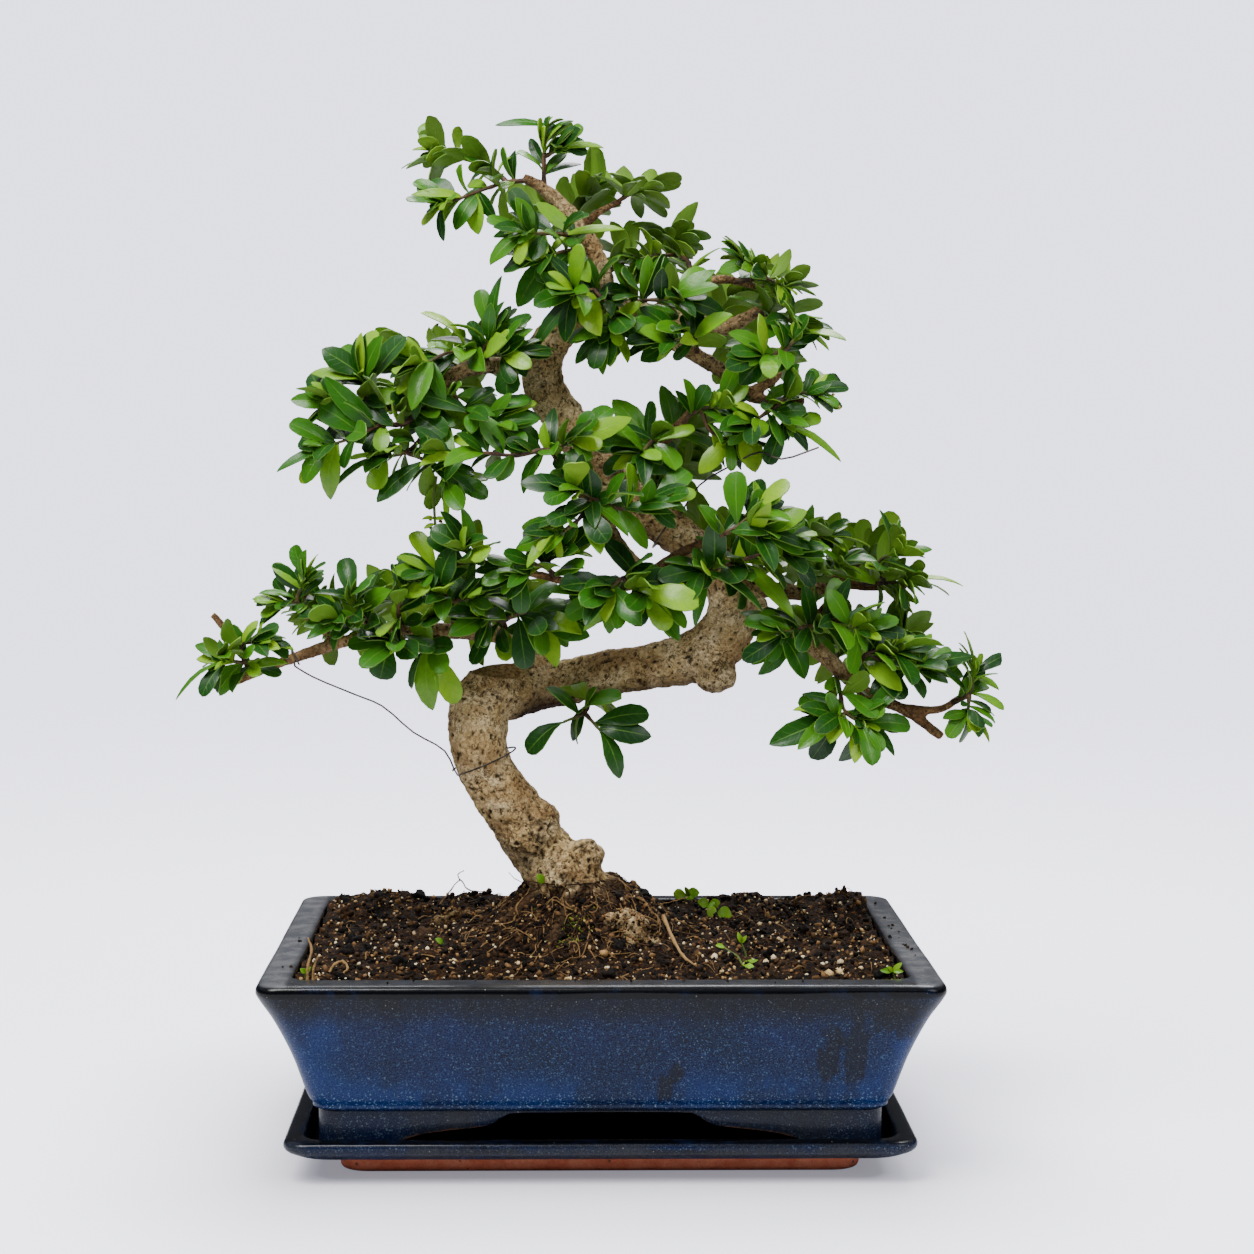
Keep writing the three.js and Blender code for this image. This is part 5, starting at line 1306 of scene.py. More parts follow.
        "leaves": []},
    "lower_right_top": {
        "size": 15, "shoots": [[(80, -9, 193), (82, -17, 200), (92, -21, 202), (100, -25, 198)],
            [(82, -17, 200), (69, -23, 197)]],
        "leaves": [(1, 1, 10, -6, -15, 9.4, 0), (0, 1, 12, -5, 6, 4.7, 1), (0, 0.8, -8, -5, 14, 7.8, 1)]},
    "lower_right_mid": {
        "size": 15, "shoots": [[(97, -13, 179), (103, -22, 190), (114, -25, 191)],
            [(103, -22, 190), (115, -21, 182), (124, -23, 184)]],
        "leaves": [(0, 0.54, 20, -8, 1, 3.9, 0), (0, 0.9, 12, -5, -3, 5.5, 0), (1, 0.7, -14, -7, -5, 7.8, 0),
            (1, 1, 9, -5, 6, 5.4, 0)]},
    "lower_right_down": {
        "size": 16, "shoots": [[(90, -12, 185), (92, -18, 176), (94, -25, 167), (101, -28, 163)],
            [(94, -25, 167), (88, -29, 165)]],
        "leaves": [(0, 0.6, -16, -4, 5, 3.9, 0), (0, 0.9, 9, -7, 5, 6.2, 1), (1, 1, -24, -3, -9, 8.6, 0),
            (1, 0.7, -8, -6, -15, 8.6, 0), (0, 1, -7, -3, -15, 9.4, 0), (0, 1, 6, -7, -9, 5.9, 1)]},
    "lower_right_tip": {
        "size": 12, "shoots": [[(136, -16, 170), (142, -20, 174), (144, -18, 182)],
            [(142, -20, 174), (141, -23, 166)]],
        "leaves": [(1, 0.8, 10, -4, -9, 5.9, 2), (0, 0.5, 13, -5, -3, 4.3, 2), (0, 1, 3, -5, 6, 6.2, 2),
            (0, 0.9, 10, -3, -3, 3.4, 2)]},
    "lower_right_back": {
        "size": 15, "shoots": [[(90, -12, 186), (98, 12, 188), (112, 34, 184)], [(98, 12, 188), (86, 30, 192)],
            [(98, 12, 188), (120, 8, 192)]],
        "leaves": []},
    "lower_left_end": {
        "size": 12, "shoots": [[(-130, -20, 182), (-135, -27, 186), (-143, -29, 187)],
            [(-135, -27, 186), (-136, -27, 193), (-128, -31, 194)]],
        "leaves": [(0, 0.94, -21, -3, -9, 3.4, 1), (0, 1, -8, -6, -3, 3.9, 1), (0, 1, -3, -5, -11, 4.7, 0),
            (0, 0.4, -6, -8, -9, 6.2, 0), (1, 0.9, 12, -4, 1, 3.9, 0), (0, 0.35, 14, -7, 3, 4.7, 2),
            (1, 0.5, 5, -7, 7, 3.4, 0)]},
    "lower_left_up": {
        "size": 10, "shoots": [[(-110, -14, 203), (-116, -18, 209), (-112, -19, 218)],
            [(-116, -18, 209), (-122, -19, 208)]],
        "leaves": [(0, 0.5, -13, -5, 5, 4.7, 1), (1, 0.8, -8, -5, -5, 5.1, 2), (0, 1, 2, -4, 10, 3.4, 2)]},
    "lower_left_mid": {
        "size": 13, "shoots": [[(-87, -14, 195), (-91, -22, 204), (-94, -24, 210)],
            [(-91, -22, 204), (-100, -27, 202)]],
        "leaves": [(1, 0.7, -15, -4, -2, 5.5, 1), (0, 1, 5, -6, 11, 4.7, 1)]},
    "lower_left_front": {
        "size": 13, "shoots": [[(-75, -12, 196), (-77, -24, 206), (-74, -28, 216)]],
        "leaves": [(0, 0.6, 12, -6, 9, 5, 0)]},
    "lower_left_rear": {
        "size": 14, "shoots": [[(-87, -13, 196), (-96, 4, 200), (-110, 14, 200)],
            [(-96, 4, 200), (-90, 16, 205)], [(-96, 4, 200), (-108, -2, 207)]],
        "leaves": []},
    "lower_left_big": {
        "size": 15, "shoots": [[(-62, -10, 197), (-67, -19, 190), (-80, -24, 194)]],
        "leaves": [(0, 0.9, 15, -4, -1, 8.6, 0), (0, 1, -4, -3, -14, 10.1, 0), (0, 0.4, 0, -5, -23, 9.4, 2),
            (0, 0.4, 12, -6, -19, 8.6, 2)]},
    "lower_left_centre": {
        "size": 14, "shoots": [[(-56, -7, 198), (-58, -22, 209), (-61, -27, 216)],
            [(-58, -22, 209), (-47, -28, 211)]],
        "leaves": []},
    "lower_left_inner": {
        "size": 15, "shoots": [[(-37, 0, 194), (-38, -14, 201), (-46, -21, 203)],
            [(-38, -14, 201), (-29, -23, 205), (-20, -22, 200)]],
        "leaves": [(0, 0.6, -12, -9, -13, 7, 0), (1, 0.4, 3, -7, -19, 8.6, 0), (1, 0.7, 14, -5, 5, 5.5, 0)]},
    "lower_left_back": {
        "size": 15, "shoots": [[(-46, -4, 197), (-50, 16, 203), (-68, 34, 206), (-86, 37, 205)],
            [(-50, 16, 203), (-34, 38, 208)], [(-68, 34, 206), (-64, 50, 208)],
            [(-50, 16, 203), (-70, 12, 210)]],
        "leaves": []},
    "trunk_under": {
        "size": 16, "shoots": [[(-4, 9, 171), (-6, -6, 165), (-14, -12, 162)], [(-6, -6, 165), (0, -14, 159)]],
        "leaves": [(0, 1, -15, -4, -9, 9.4, 0), (0, 0.7, -10, -9, 13, 7.6, 0), (1, 0.6, 20, -5, 6, 8.6, 0),
            (1, 1, 10, -3, -17, 7.8, 0), (1, 0.9, 19, -6, -1, 8.6, 0)]},
}

leafRule = {
    "seed": 20417,
    "spacing": 24, "bare start": 7, "golden angle": 2.39996, "crown step": 2.2,
    "side lean": 1.0, "crown lean": 0.62, "crown bare": 3, "crown dressed": 1,
}

fillRule = {
    "seed": 77, "rounds": 2,
    "spacing": 3.8, "start": 2.5, "side size": (0.8, 1.5), "side lean": (0.6, 1.4),
    "crown count": 7, "crown size": (0.4, 1.4), "crown lean": (0.2, 1.15),
    "width": (0.29, 0.44), "swell": 0.1, "ridge": 0.5, "few": {"trunk_under": 4},
    "golden angle": 2.4, "turn jitter": 0.4, "lift": 0.2, "narrowest": 2.6, "crown start": (0.3, 0.7),
    "tones": (0, 0, 0, 1, 1, 2),
}

# How a growing leaf varies: each pair is the least and the range above it.
leafJitter = {
    "turn": 0.5, "lean": 0.35, "lift": 0.12, "length": (0.8, 0.5), "width": (0.42, 0.14), "narrowest": 4,
}

bladeRows = {
    "big": [(1, 0, 0), (0.86, 0.72, 0.75), (0.56, 1, 1), (0.2, 0.3, 0.7), (0, 0, 0)],
    "small": [(1, 0, 0), (0.78, 0.95, 0.9), (0.42, 0.85, 1), (0, 0, 0)],
}

# The bodies of leaves and shoots that a new leaf keeps clear of, in mm. The close ones are for its own spray.
bladeForm = {
    "ridge": 1.3, "stem": 1.3, "bow": 0.07, "room": 0.45, "close room": 0.1, "close start": 0.3, "spare": 1,
}

# Ways to bend a leaf until it is free: turn, raise, scale.
bends = [(0, 0, 1), (0.3, 0, 1), (-0.3, 0, 1), (0, 0.25, 1), (0, -0.25, 1), (0.5, 0.2, 0.9), (-0.5, 0.2, 0.9),
         (0, 0.4, 0.75), (0.7, -0.2, 0.75), (-0.7, -0.2, 0.75)]


def seededRandom(seed):
    state = seed

    def draw():
        nonlocal state
        state = (state * 1664525 + 1013904223) % 2 ** 32
        return state / 2 ** 32
    return draw


def routeLength(route):
    return sum((Vector(b) - Vector(a)).length for a, b in zip(route, route[1:]))


def alongShoot(route, part):
    points = [Vector(row) for row in route]
    spans = [(b - a).length for a, b in zip(points, points[1:])]
    rest = part * sum(spans)
    i = 0
    while i < len(spans) - 1 and rest > spans[i]:
        rest -= spans[i]
        i += 1
    direction = (points[i + 1] - points[i]).normalized()
    return points[i] + direction * rest, direction


def leafFacing(point, a, b):
    outward = Vector((point.x * 0.2, point.y, 0)).normalized()
    return Vector((a - 0.5, b - 0.5, 0.6)) + outward * 0.7


def grownLeaf(route, part, turn, lean, size, draw):
    point, direction = alongShoot(route, part)
    jitter = [draw() for _ in range(6)]
    across = Vector((0.2, -0.3, 1)).cross(direction).normalized()
    across = Quaternion(direction, turn + (jitter[0] - 0.5) * leafJitter["turn"]) @ across
    angle = lean + (jitter[1] - 0.5) * leafJitter["lean"]
    aim = direction * math.cos(angle) + across * math.sin(angle)
    aim.z += leafJitter["lift"]
    least, spread = leafJitter["length"]
    length = size * (least + spread * jitter[2])
    least, spread = leafJitter["width"]
    width = max(leafJitter["narrowest"], length * (least + spread * jitter[5]))
    return {"root": point, "reach": aim.normalized() * length, "width": width,
            "facing": leafFacing(point, jitter[3], jitter[4]), "rows": "small", "tone": None}


def ruleLeaves(spray, draw):
    rule = leafRule
    chosen = []
    for shoot, part, x, y, z, width, tone in spray["leaves"]:
        point, _ = alongShoot(spray["shoots"][shoot], part)
        chosen.append({"root": point, "reach": Vector((x, y, z)), "facing": leafFacing(point, draw(), draw()),
                       "width": width, "rows": "big" if width > 8 else "small", "tone": tone})
    grown = []
    for shoot, route in enumerate(spray["shoots"]):
        length = routeLength(route)
        i = 0
        while rule["bare start"] + i * rule["spacing"] < length - 2:
            part = (rule["bare start"] + i * rule["spacing"]) / length
            turn = i * rule["golden angle"]
            grown.append(grownLeaf(route, part, turn, rule["side lean"], spray["size"], draw))
            i += 1
        atTip = sum(1 for leaf in spray["leaves"] if leaf[0] == shoot and leaf[1] > 0.85)
        crown = rule["crown dressed"] if spray["leaves"] else rule["crown bare"]
        for i in range(atTip, crown):
            part = 1 - (1 + rule["crown step"] * i) / length
            turn = i * rule["golden angle"] + 1
            grown.append(grownLeaf(route, part, turn, rule["crown lean"], spray["size"], draw))
    return chosen, grown


# More and smaller leaves between those of the rule, as rosettes along each shoot.
def fillLeaves(spray, dice):
    rule = fillRule
    leaves = []

    def add(route, part, turn, lean, size):
        point, direction = alongShoot(route, part)
        across = Quaternion(direction, turn) @ Vector((0.2, -0.3, 1)).cross(direction).normalized()
        aim = direction * math.cos(lean) + across * math.sin(lean)
        aim.z += rule["lift"]
        length = spray["size"] * size
        leaves.append({"root": point, "reach": aim.normalized() * length,
                       "facing": leafFacing(point, dice.random(), dice.random()),
                       "width": max(rule["narrowest"], length * dice.uniform(*rule["width"])), "rows": "small",
                       "tone": dice.choice(rule["tones"])})

    for route in spray["shoots"]:
        length = routeLength(route)
        count = int((length - rule["start"]) / rule["spacing"])
        for i in range(count):
            part = (rule["start"] + i * rule["spacing"]) / length
            turn = i * rule["golden angle"] + dice.uniform(-rule["turn jitter"], rule["turn jitter"])
            add(route, part, turn, dice.uniform(*rule["side lean"]), dice.uniform(*rule["side size"]))
        first, step = rule["crown start"]
        for i in range(rule["crown count"]):
            part = 1 - (first + step * i) / length
            turn = i * rule["golden angle"] + 0.5
            add(route, part, turn, dice.uniform(*rule["crown lean"]), dice.uniform(*rule["crown size"]))
    return leaves


def leafAxes(leaf):
    side = leaf["reach"].cross(leaf["facing"]).normalized()
    return side, side.cross(leaf["reach"]).normalized()


# The bare outline of a leaf as a thin closed body, to test what it crosses.
def bladeBody(leaf, swell, start, thick):
    side, up = leafAxes(leaf)
    length = leaf["reach"].length
    rings = []
    for along, half, ridge in bladeRows[leaf["rows"]]:
        t = start + (1 - start) * along
        spine = leaf["root"] + leaf["reach"] * t + up * (length * bladeForm["bow"] * 4 * t * (1 - t))
        edge = side * (leaf["width"] / 2 * half + swell) if half else Vector()
        drop = up * (swell if half else 0)
        top = spine + up * (thick * ridge + swell) if half else spine
        rings.append([top, spine + edge - drop, spine - edge - drop])
    points = [point for ring in rings for point in ring]
    faces = []
    for i in range(len(rings) - 1):
        for a, b in ((0, 1), (1, 2), (2, 0)):
            faces.append((3 * i + a, 3 * i + b, 3 * i + 3 + b, 3 * i + 3 + a))
    return points, BVHTree.FromPolygons(points, faces)


def shootBody(route, radius):
    points, faces = [], []
    for a, b in zip(route, route[1:]):
        a, b = Vector(a), Vector(b)
        u = (b - a).orthogonal().normalized()
        w = u.cross(b - a).normalized()
        first = len(points)
        for end in (a, b):
            points += [end + side * radius for side in (u, w, -u, -w)]
        faces += [(first + i, first + (i + 1) % 4, first + 4 + (i + 1) % 4, first + 4 + i) for i in range(4)]
    return points, BVHTree.FromPolygons(points, faces)


class Blockers:
    cell = 24

    def __init__(self):
        self.cells = {}

    def keysOf(self, points):
        low = [math.floor(min(point[axis] for point in points) / self.cell) for axis in range(3)]
        high = [math.floor(max(point[axis] for point in points) / self.cell) for axis in range(3)]
        return [(x, y, z) for x in range(low[0], high[0] + 1) for y in range(low[1], high[1] + 1)
                for z in range(low[2], high[2] + 1)]

    def add(self, body, owner, isStem=False):
        points, tree = body
        for key in self.keysOf(points):
            self.cells.setdefault(key, []).append((tree, owner, isStem))

    def near(self, points):
        found = {}
        for key in self.keysOf(points):
            for entry in self.cells.get(key, ()):
                found[id(entry[0])] = entry
        return found.values()


def bentLeaf(leaf, bend):
    turn, raising, scale = bend
    length = leaf["reach"].length
    reach = Quaternion(upward, turn) @ leaf["reach"]
    reach.z += raising * length
    return {**leaf, "reach": reach.normalized() * length * scale}


def settledLeaf(leaf, owner, blockers, wood, swell, thick):
    for bend in bends:
        tried = bentLeaf(leaf, bend)
        points, whole = bladeBody(tried, swell, 0.0, thick)
        _, outer = bladeBody(tried, bladeForm["close room"], bladeForm["close start"], thick)
        if whole.overlap(wood):
            continue
        free = True
        for tree, other, isStem in blockers.near(points):
            if other == owner:
                crossing = not isStem and outer.overlap(tree)
            else:
                crossing = whole.overlap(tree)
            if crossing:
                free = False
                break
        if free:
            return tried
    return None


def insideBox(leaf, low, high):
    tip = leaf["root"] + leaf["reach"]
    spare = bladeForm["spare"]
    return all(low[i] - spare < tip[i] < high[i] + spare for i in range(3))


def placeLeaves():
    draw = seededRandom(leafRule["seed"])
    dice = random.Random(fillRule["seed"])
    low, high = (Vector(corner) / mm for corner in cadBox)
    wood = searchTree(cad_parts["trunk"].data)
    blockers = Blockers()
    for name, spray in sprays.items():
        for route in spray["shoots"]:
            blockers.add(shootBody(route, bladeForm["stem"]), name, True)
    waiting = {name: ruleLeaves(spray, draw) for name, spray in sprays.items()}
    placed = {name: [] for name in sprays}

    def settle(name, leaf, room, thick):
        leaf = settledLeaf(leaf, name, blockers, wood, room, thick)
        if leaf and insideBox(leaf, low, high):
            placed[name].append(leaf)
            blockers.add(bladeBody(leaf, 0.0, 0.0, thick), name)

    for kind in (0, 1):
        for name in sprays:
            for leaf in waiting[name][kind]:
                settle(name, leaf, bladeForm["room"], bladeForm["ridge"])
    ruled = sum(len(leaves) for leaves in placed.values())
    for _ in range(fillRule["rounds"]):
        for name, spray in sprays.items():
            for leaf in fillLeaves(spray, dice)[:fillRule["few"].get(name)]:
                settle(name, leaf, fillRule["swell"], fillRule["ridge"])
    filled = sum(len(leaves) for leaves in placed.values()) - ruled
    print("leaves placed:", ruled, "by the rule and", filled, "between them")
    return placed


# Flat leaf outlines of unit length and half width, with the vein map. peak is where the leaf is widest.
leafOutlines = {
    "obovate": {"peak": 0.72, "fullness": 1.62, "rows": [0, 0.08, 0.28, 0.5, 0.72, 0.89, 0.97, 1]},
    "elliptic": {"peak": 0.56, "fullness": 1.75, "rows": [0, 0.08, 0.25, 0.45, 0.66, 0.85, 0.96, 1]},
    "lance": {"peak": 0.48, "fullness": 1.5, "rows": [0, 0.08, 0.25, 0.45, 0.65, 0.84, 0.95, 1]},
}
petiole = 0.045


def leafOutline(settings):
    rows, peak, fullness = settings["rows"], settings["peak"], settings["fullness"]
    bm = bmesh.new()
    bmesh.ops.create_grid(bm, x_segments=4, y_segments=len(rows) - 1, size=1)
    for vert in bm.verts:
        step = round((vert.co.y + 1) / 2 * (len(rows) - 1))
        t = rows[step]
        half = (t / peak) ** (peak * fullness) * ((1 - t) / (1 - peak)) ** ((1 - peak) * fullness)
        vert.co = Vector((vert.co.x * max(half, petiole if t < 0.5 else 0), t, 0))
    bmesh.ops.remove_doubles(bm, verts=bm.verts, dist=1e-5)
    bmesh.ops.recalc_face_normals(bm, faces=bm.faces)
    if bm.faces[0].normal.z < 0:
        bmesh.ops.reverse_faces(bm, faces=bm.faces)
    bmesh.ops.solidify(bm, geom=bm.faces, thickness=0.01)
    lowest = min(vert.co.z for vert in bm.verts)
    highest = max(vert.co.z for vert in bm.verts)
    veins = bm.loops.layers.uv.new("veins")
    for vert in bm.verts:
        vert.co.z = 0.0 if vert.co.z > (lowest + highest) / 2 else -1.0
    for face in bm.faces:
        for loop in face.loops:
            t = loop.vert.co.y
            half = (t / peak) ** (peak * fullness) * (max(0, 1 - t) / (1 - peak)) ** ((1 - peak) * fullness)
            share = loop.vert.co.x / max(half, petiole)
            loop[veins].uv = (0.5 + 0.5 * max(-1, min(1, share)), t)
    mesh = meshFrom(bm, "leaf outline")
    setValues(mesh, "under", [1.0 if vert.co.z < -0.5 else 0.0 for vert in mesh.vertices])
    setValues(mesh, "tone", 0.0)
    return mesh


leafForm = {
    "thickness": 0.4, "wider": 1.1, "bow": 0.07, "fold": (0.05, 0.5), "curl": (0.1, 0.34), "droop": (0.0, 0.3),
    "twist": (-0.35, 0.35), "ripple": 0.05,
}


def growLeaf(bm, outline, leaf, tone, dice):
    form = leafForm
    side, up = leafAxes(leaf)
    length, half = leaf["reach"].length, leaf["width"] / 2 * form["wider"]
    fold, curl = dice.uniform(*form["fold"]), dice.uniform(*form["curl"])
    droop, twist = dice.uniform(*form["droop"]), dice.uniform(*form["twist"])
    phase = dice.uniform(0, 6.28)
    copy = outline.copy()
    for vert in copy.vertices:
        x, t, layer = vert.co
        turn = Quaternion(leaf["reach"].normalized(), twist * (t - 0.3))
        lift = length * (form["bow"] * 4 * t * (1 - t) - droop * t * t)
        ripple = form["ripple"] * abs(x) * math.sin(7 * t + phase + 3 * x)
        lift += half * (fold * abs(x) - curl * x * x + ripple)
        lift += form["thickness"] * layer * (1 if t > 0.03 else 1.6)
        place = leaf["root"] + leaf["reach"] * t + turn @ (side * (half * x) + up * lift)
        vert.co = place * mm
    pour(bm, copy, tone=tone)


leafGreens = [(0.0, (14, 58, 14)), (0.4, (44, 104, 14)), (0.7, (88, 148, 18)), (1.0, (146, 188, 30))]


# The veins UV map gives the place across and along the leaf.
def leafMaterial():
    paint = newPaint("leaf", Coat_Weight=0.1, Coat_Roughness=0.15, Specular_IOR_Level=0.26)
    uv = paint.node("UVMap", {}, uv_map="veins").outputs[0]
    across = paint.calc("ABSOLUTE", paint.calc("MULTIPLY_ADD", paint.axis(0, uv), 2.0, -1.0))
    along = paint.axis(1, uv)
    under = paint.value("under")
    mottle = paint.noise(170.0, 3.0, 0.6, 0.35, 0.7)
    midrib = paint.times(paint.ramp(across, 0.085, 0.02), paint.ramp(along, 1.02, 0.3, 0.3, 1.0))
    slant = paint.calc("MULTIPLY_ADD", across, -1.3, paint.times(along, 7.0))
    wave = paint.calc("ABSOLUTE", paint.calc("SUBTRACT", paint.calc("FRACT", slant), 0.5))
    vein = paint.times(paint.ramp(wave, 0.1, 0.02), paint.ramp(across, 1.0, 0.5))
    color = paint.layers(paint.colorRamp(paint.value("tone"), leafGreens),
                         ((120, 170, 110), mottle, 0.28, "MULTIPLY"),
                         ((70, 118, 30), vein, 0.22), ((124, 168, 62), midrib, 0.5),
                         ((104, 146, 50), paint.ramp(across, 0.9, 0.99), 0.45))
    color = paint.over(color, paint.over(color, (124, 162, 52), 0.6), under)
    relief = paint.plus(midrib, paint.times(vein, 0.6))
    relief = paint.calc("SUBTRACT", paint.times(mottle, 0.4), relief)
    roughness = paint.plus(paint.ramp(mottle, 0.0, 1.0, 0.3, 0.42), paint.times(under, 0.25))
    return paint.finish(color, roughness, (relief, 0.4, 0.12))


def twigMaterial():
    paint = newPaint("young twig")
    fleck = paint.flecks(1400.0, 240.0, 420.0, 0.16)
    color = paint.layers((52, 33, 20), ((98, 70, 42), fleck["Coarse"]), ((78, 100, 26), paint.value("tone")),
                         ((140, 112, 74), fleck["Spots"], 0.5))
    relief = paint.plus(fleck["Coarse"], fleck["Spots"])
    return paint.finish(color, paint.ramp(fleck["Fine"], 0.0, 1.0, 0.6, 0.85), (relief, 0.6, 0.2))


twigForm = {"start": 1.2, "side": 0.95, "end": 0.5, "knot": 0.16}


def twigLines(spray):
    lines = []
    for shoot, route in enumerate(spray["shoots"]):
        start = twigForm["start"] if shoot == 0 else twigForm["side"]
        last = len(route) - 1
        rows = [(*row, start + (twigForm["end"] - start) * i / last) for i, row in enumerate(route)]
        line = smoothLine(rows, 5)
        lines.append([(point, radius * (1 + twigForm["knot"] * (1 if i % 3 == 1 else -0.4)))
                      for i, (point, radius) in enumerate(line)])
    return lines


# Twigs as part of a leafy mesh, in its second material.
def pourTwigs(bm, lines, toneAt):
    twig = tubeMesh(lines, 1)
    twig.polygons.foreach_set("material_index", [1] * len(twig.polygons))
    pour(bm, twig, under=0.0, tone=[toneAt(vert.co / mm) for vert in twig.vertices])


# Grows a leaf of a spray in the outline and tone that fit it.
def dressLeaf(bm, leaf, dice):
    slim = leaf["width"] / leaf["reach"].length < 0.3
    kind = "lance" if slim else dice.choice(("obovate", "obovate", "elliptic", "elliptic"))
    base = dice.choice((0.15, 0.3, 0.5, 0.8)) if leaf["tone"] is None else (0.12, 0.5, 0.88)[leaf["tone"]]
    growLeaf(bm, outlines[kind], leaf, min(1, max(0, base + dice.uniform(-0.12, 0.12))), dice)


def makeSprays():
    placed = placeLeaves()
    dice = random.Random(31)
    total = 0
    for name, spray in sprays.items():
        bm = bmesh.new()
        for leaf in placed[name]:
            dressLeaf(bm, leaf, dice)
        tips = [Vector(route[-1]) for route in spray["shoots"]]
        greenness = lambda place: max(smoothStep(1 - (place - tip).length / 9) for tip in tips)
        pourTwigs(bm, twigLines(spray), greenness)
        mesh = meshFrom(bm, "spray", 50)
        newPiece("leaves_" + name, mesh, leafMaterials, ["spray_" + name])
        total += len(mesh.polygons)
    print("sprays made with", total, "faces")


outlines = {name: leafOutline(settings) for name, settings in leafOutlines.items()}
leafMaterials = [leafMaterial(), twigMaterial()]
makeSprays()


# Small plants and moss on the soil, buds and dry bits in the crown.

# Each plant has a place, its stem as points over the soil there, and leaves as (root, reach, width).
sprouts = [
    {"place": (49.1, 42.8), "stem": [(0, 0, -1), (0, 0, 2)],
     "leaves": [((0, 0, 2.4), (5.5, -2, 0.4), 6), ((0, 0, 2.4), (-4, 0, 1.6), 4.5)]},
    {"place": (46, 58), "stem": [(0, 0, -1), (0.5, 0, 3)],
     "leaves": [((0.5, 0, 3), (4.5, -2, 1.4), 4), ((0.5, 0, 3), (-4, -2, 2), 4),
                ((0.5, 0, 3), (1, -4, 1), 3.6)]},
    {"place": (38, 68), "stem": [(0, 0, -1), (-0.5, 0, 4)],
     "leaves": [((-0.5, 0, 4), (5, -2, 1.6), 4.4), ((-0.5, 0, 4), (-5, -2, 0.6), 4.4),
                ((-0.5, 0, 4), (0.6, -4, 2.6), 4), ((-0.5, 0, 4), (2.6, -3, -1), 3.6)]},
    {"place": (53.5, -46), "stem": [(1, 0, -1), (-1.5, 4, 3), (-6, 12, 4.6)],
     "leaves": [((-6, 12, 4.6), (-3.4, 4, 0.8), 1.7), ((0, 0, 1), (3.6, -7, 0.6), 2.2),
                ((0, 0, 1), (4.4, -4, 2.2), 1.6)]},
    {"place": (56.5, -32), "stem": [(0, 0, -1), (-1, 0, 3.6), (-2.4, 0.4, 7)],
     "leaves": [((-2.4, 0.4, 7), (-1.4, -1, 4), 1.7), ((-2.4, 0.4, 7), (1.8, -0.6, 3), 1.4),
                ((0, 0, 1), (2.6, -2, -0.4), 1.5)]},
    {"place": (108.5, -69), "stem": [(0, 0, -1), (-1, 0, 3)],
     "leaves": [((-1, 0, 3), (3, -1, 3.4), 1.9), ((-1, 0, 3), (-4.4, -1, 0.6), 1.9),
                ((-1, 0, 3), (-2, -2, 2), 1.6), ((-1, 0, 3), (3.4, -2, 0.4), 1.7)]},
    {"place": (-109, -68.5), "stem": [(0, 0, -1), (0.4, 0, 2)],
     "leaves": [((0.4, 0, 2), (1.6, -1, 2.4), 1.7), ((0.4, 0, 2), (-1.6, -1, 1.6), 1.7)]},
    {"place": (-60.7, -13.6), "stem": [(0, 0, -1), (0, 0, 1.6)], "leaves": [((0, 0, 1.6), (-2, -2, 1.8), 2.2)]},
]

# The leaf that sprouts from the foot of the trunk, the withered leaf, the hanging flower stalk and buds.
extras = {
    # root, reach, width, outline, tone
    "leaves": [((-21.5, -14, 99.5), (-2.6, -2.4, 3.4), 3.2, "elliptic", 0.8),
               ((55, -20, 274), (4, -5, -14), 9, "lance", 1.0)],
    "stalk": [(-62.5, -24, 257), (-63.5, -25, 249), (-63, -25, 240), (-62.5, -25, 236)],
    "stalk stars": [((-63.2, -25, 241), (-4.4, -1, 0.6)), ((-63.2, -25, 241), (4, -1, 0)),
                    ((-62.8, -25, 238), (3.4, -1, -1.4)), ((-63.2, -25, 239), (-4, -1, -1.2))],
    "star width": 1.7,
}

# Small round bits of the crown: places, size, shades.
budRows = [
    ([(-64.6, -25.4, 240.8), (-61, -24.4, 240), (-64.8, -25, 237.6), (-60.6, -25.6, 236.4),
      (-62.4, -25, 234.2), (-63.8, -24.2, 234.4), (-61.6, -25.4, 235)], (0.9, 0.7, 0.8), (0.0, 0.3)),
    ([(86, -17, 291), (88.5, -17, 288.5), (85, -17, 287), (88, -16, 284.6), (91, -16, 283.6),
      (89.5, -18, 286)], (0.8, 0.8, 1.1), (0.7, 1.0)),
]

# Moss: centre, width of the patch, tufts, height over the soil.
mossPatches = [
    ((-14, -31), 6, 90, 0.2), ((-9, -27), 5, 60, 0.2), ((15, -27), 5, 50, 1.6), ((-30, -22), 4, 12, 0.2),
    ((24, 30), 6, 20, 0.2), ((-36, 34), 7, 22, 0.2),
]


def mossTufts(bm, shapes, dice):
    for (x, y), wide, count, lift in mossPatches:
        for _ in range(count):
            spotX, spotY = x + dice.gauss(0, wide / 2), y + dice.gauss(0, wide / 2)
            size = dice.uniform(0.25, 0.7)
            height = soilTop(spotX, spotY) + lift
            place = matrixAt((spotX, spotY, height), anyTurn(dice), (size, size, size * 0.8))
            shadedCopy(bm, dice.choice(shapes), place, dice.uniform(0.0, 1.0))


def smallLeaf(bm, outline, root, reach, width, facing, tone, dice):
    leaf = {"root": Vector(root), "reach": Vector(reach), "width": width, "facing": Vector(facing)}
    growLeaf(bm, outlines[outline], leaf, tone, dice)


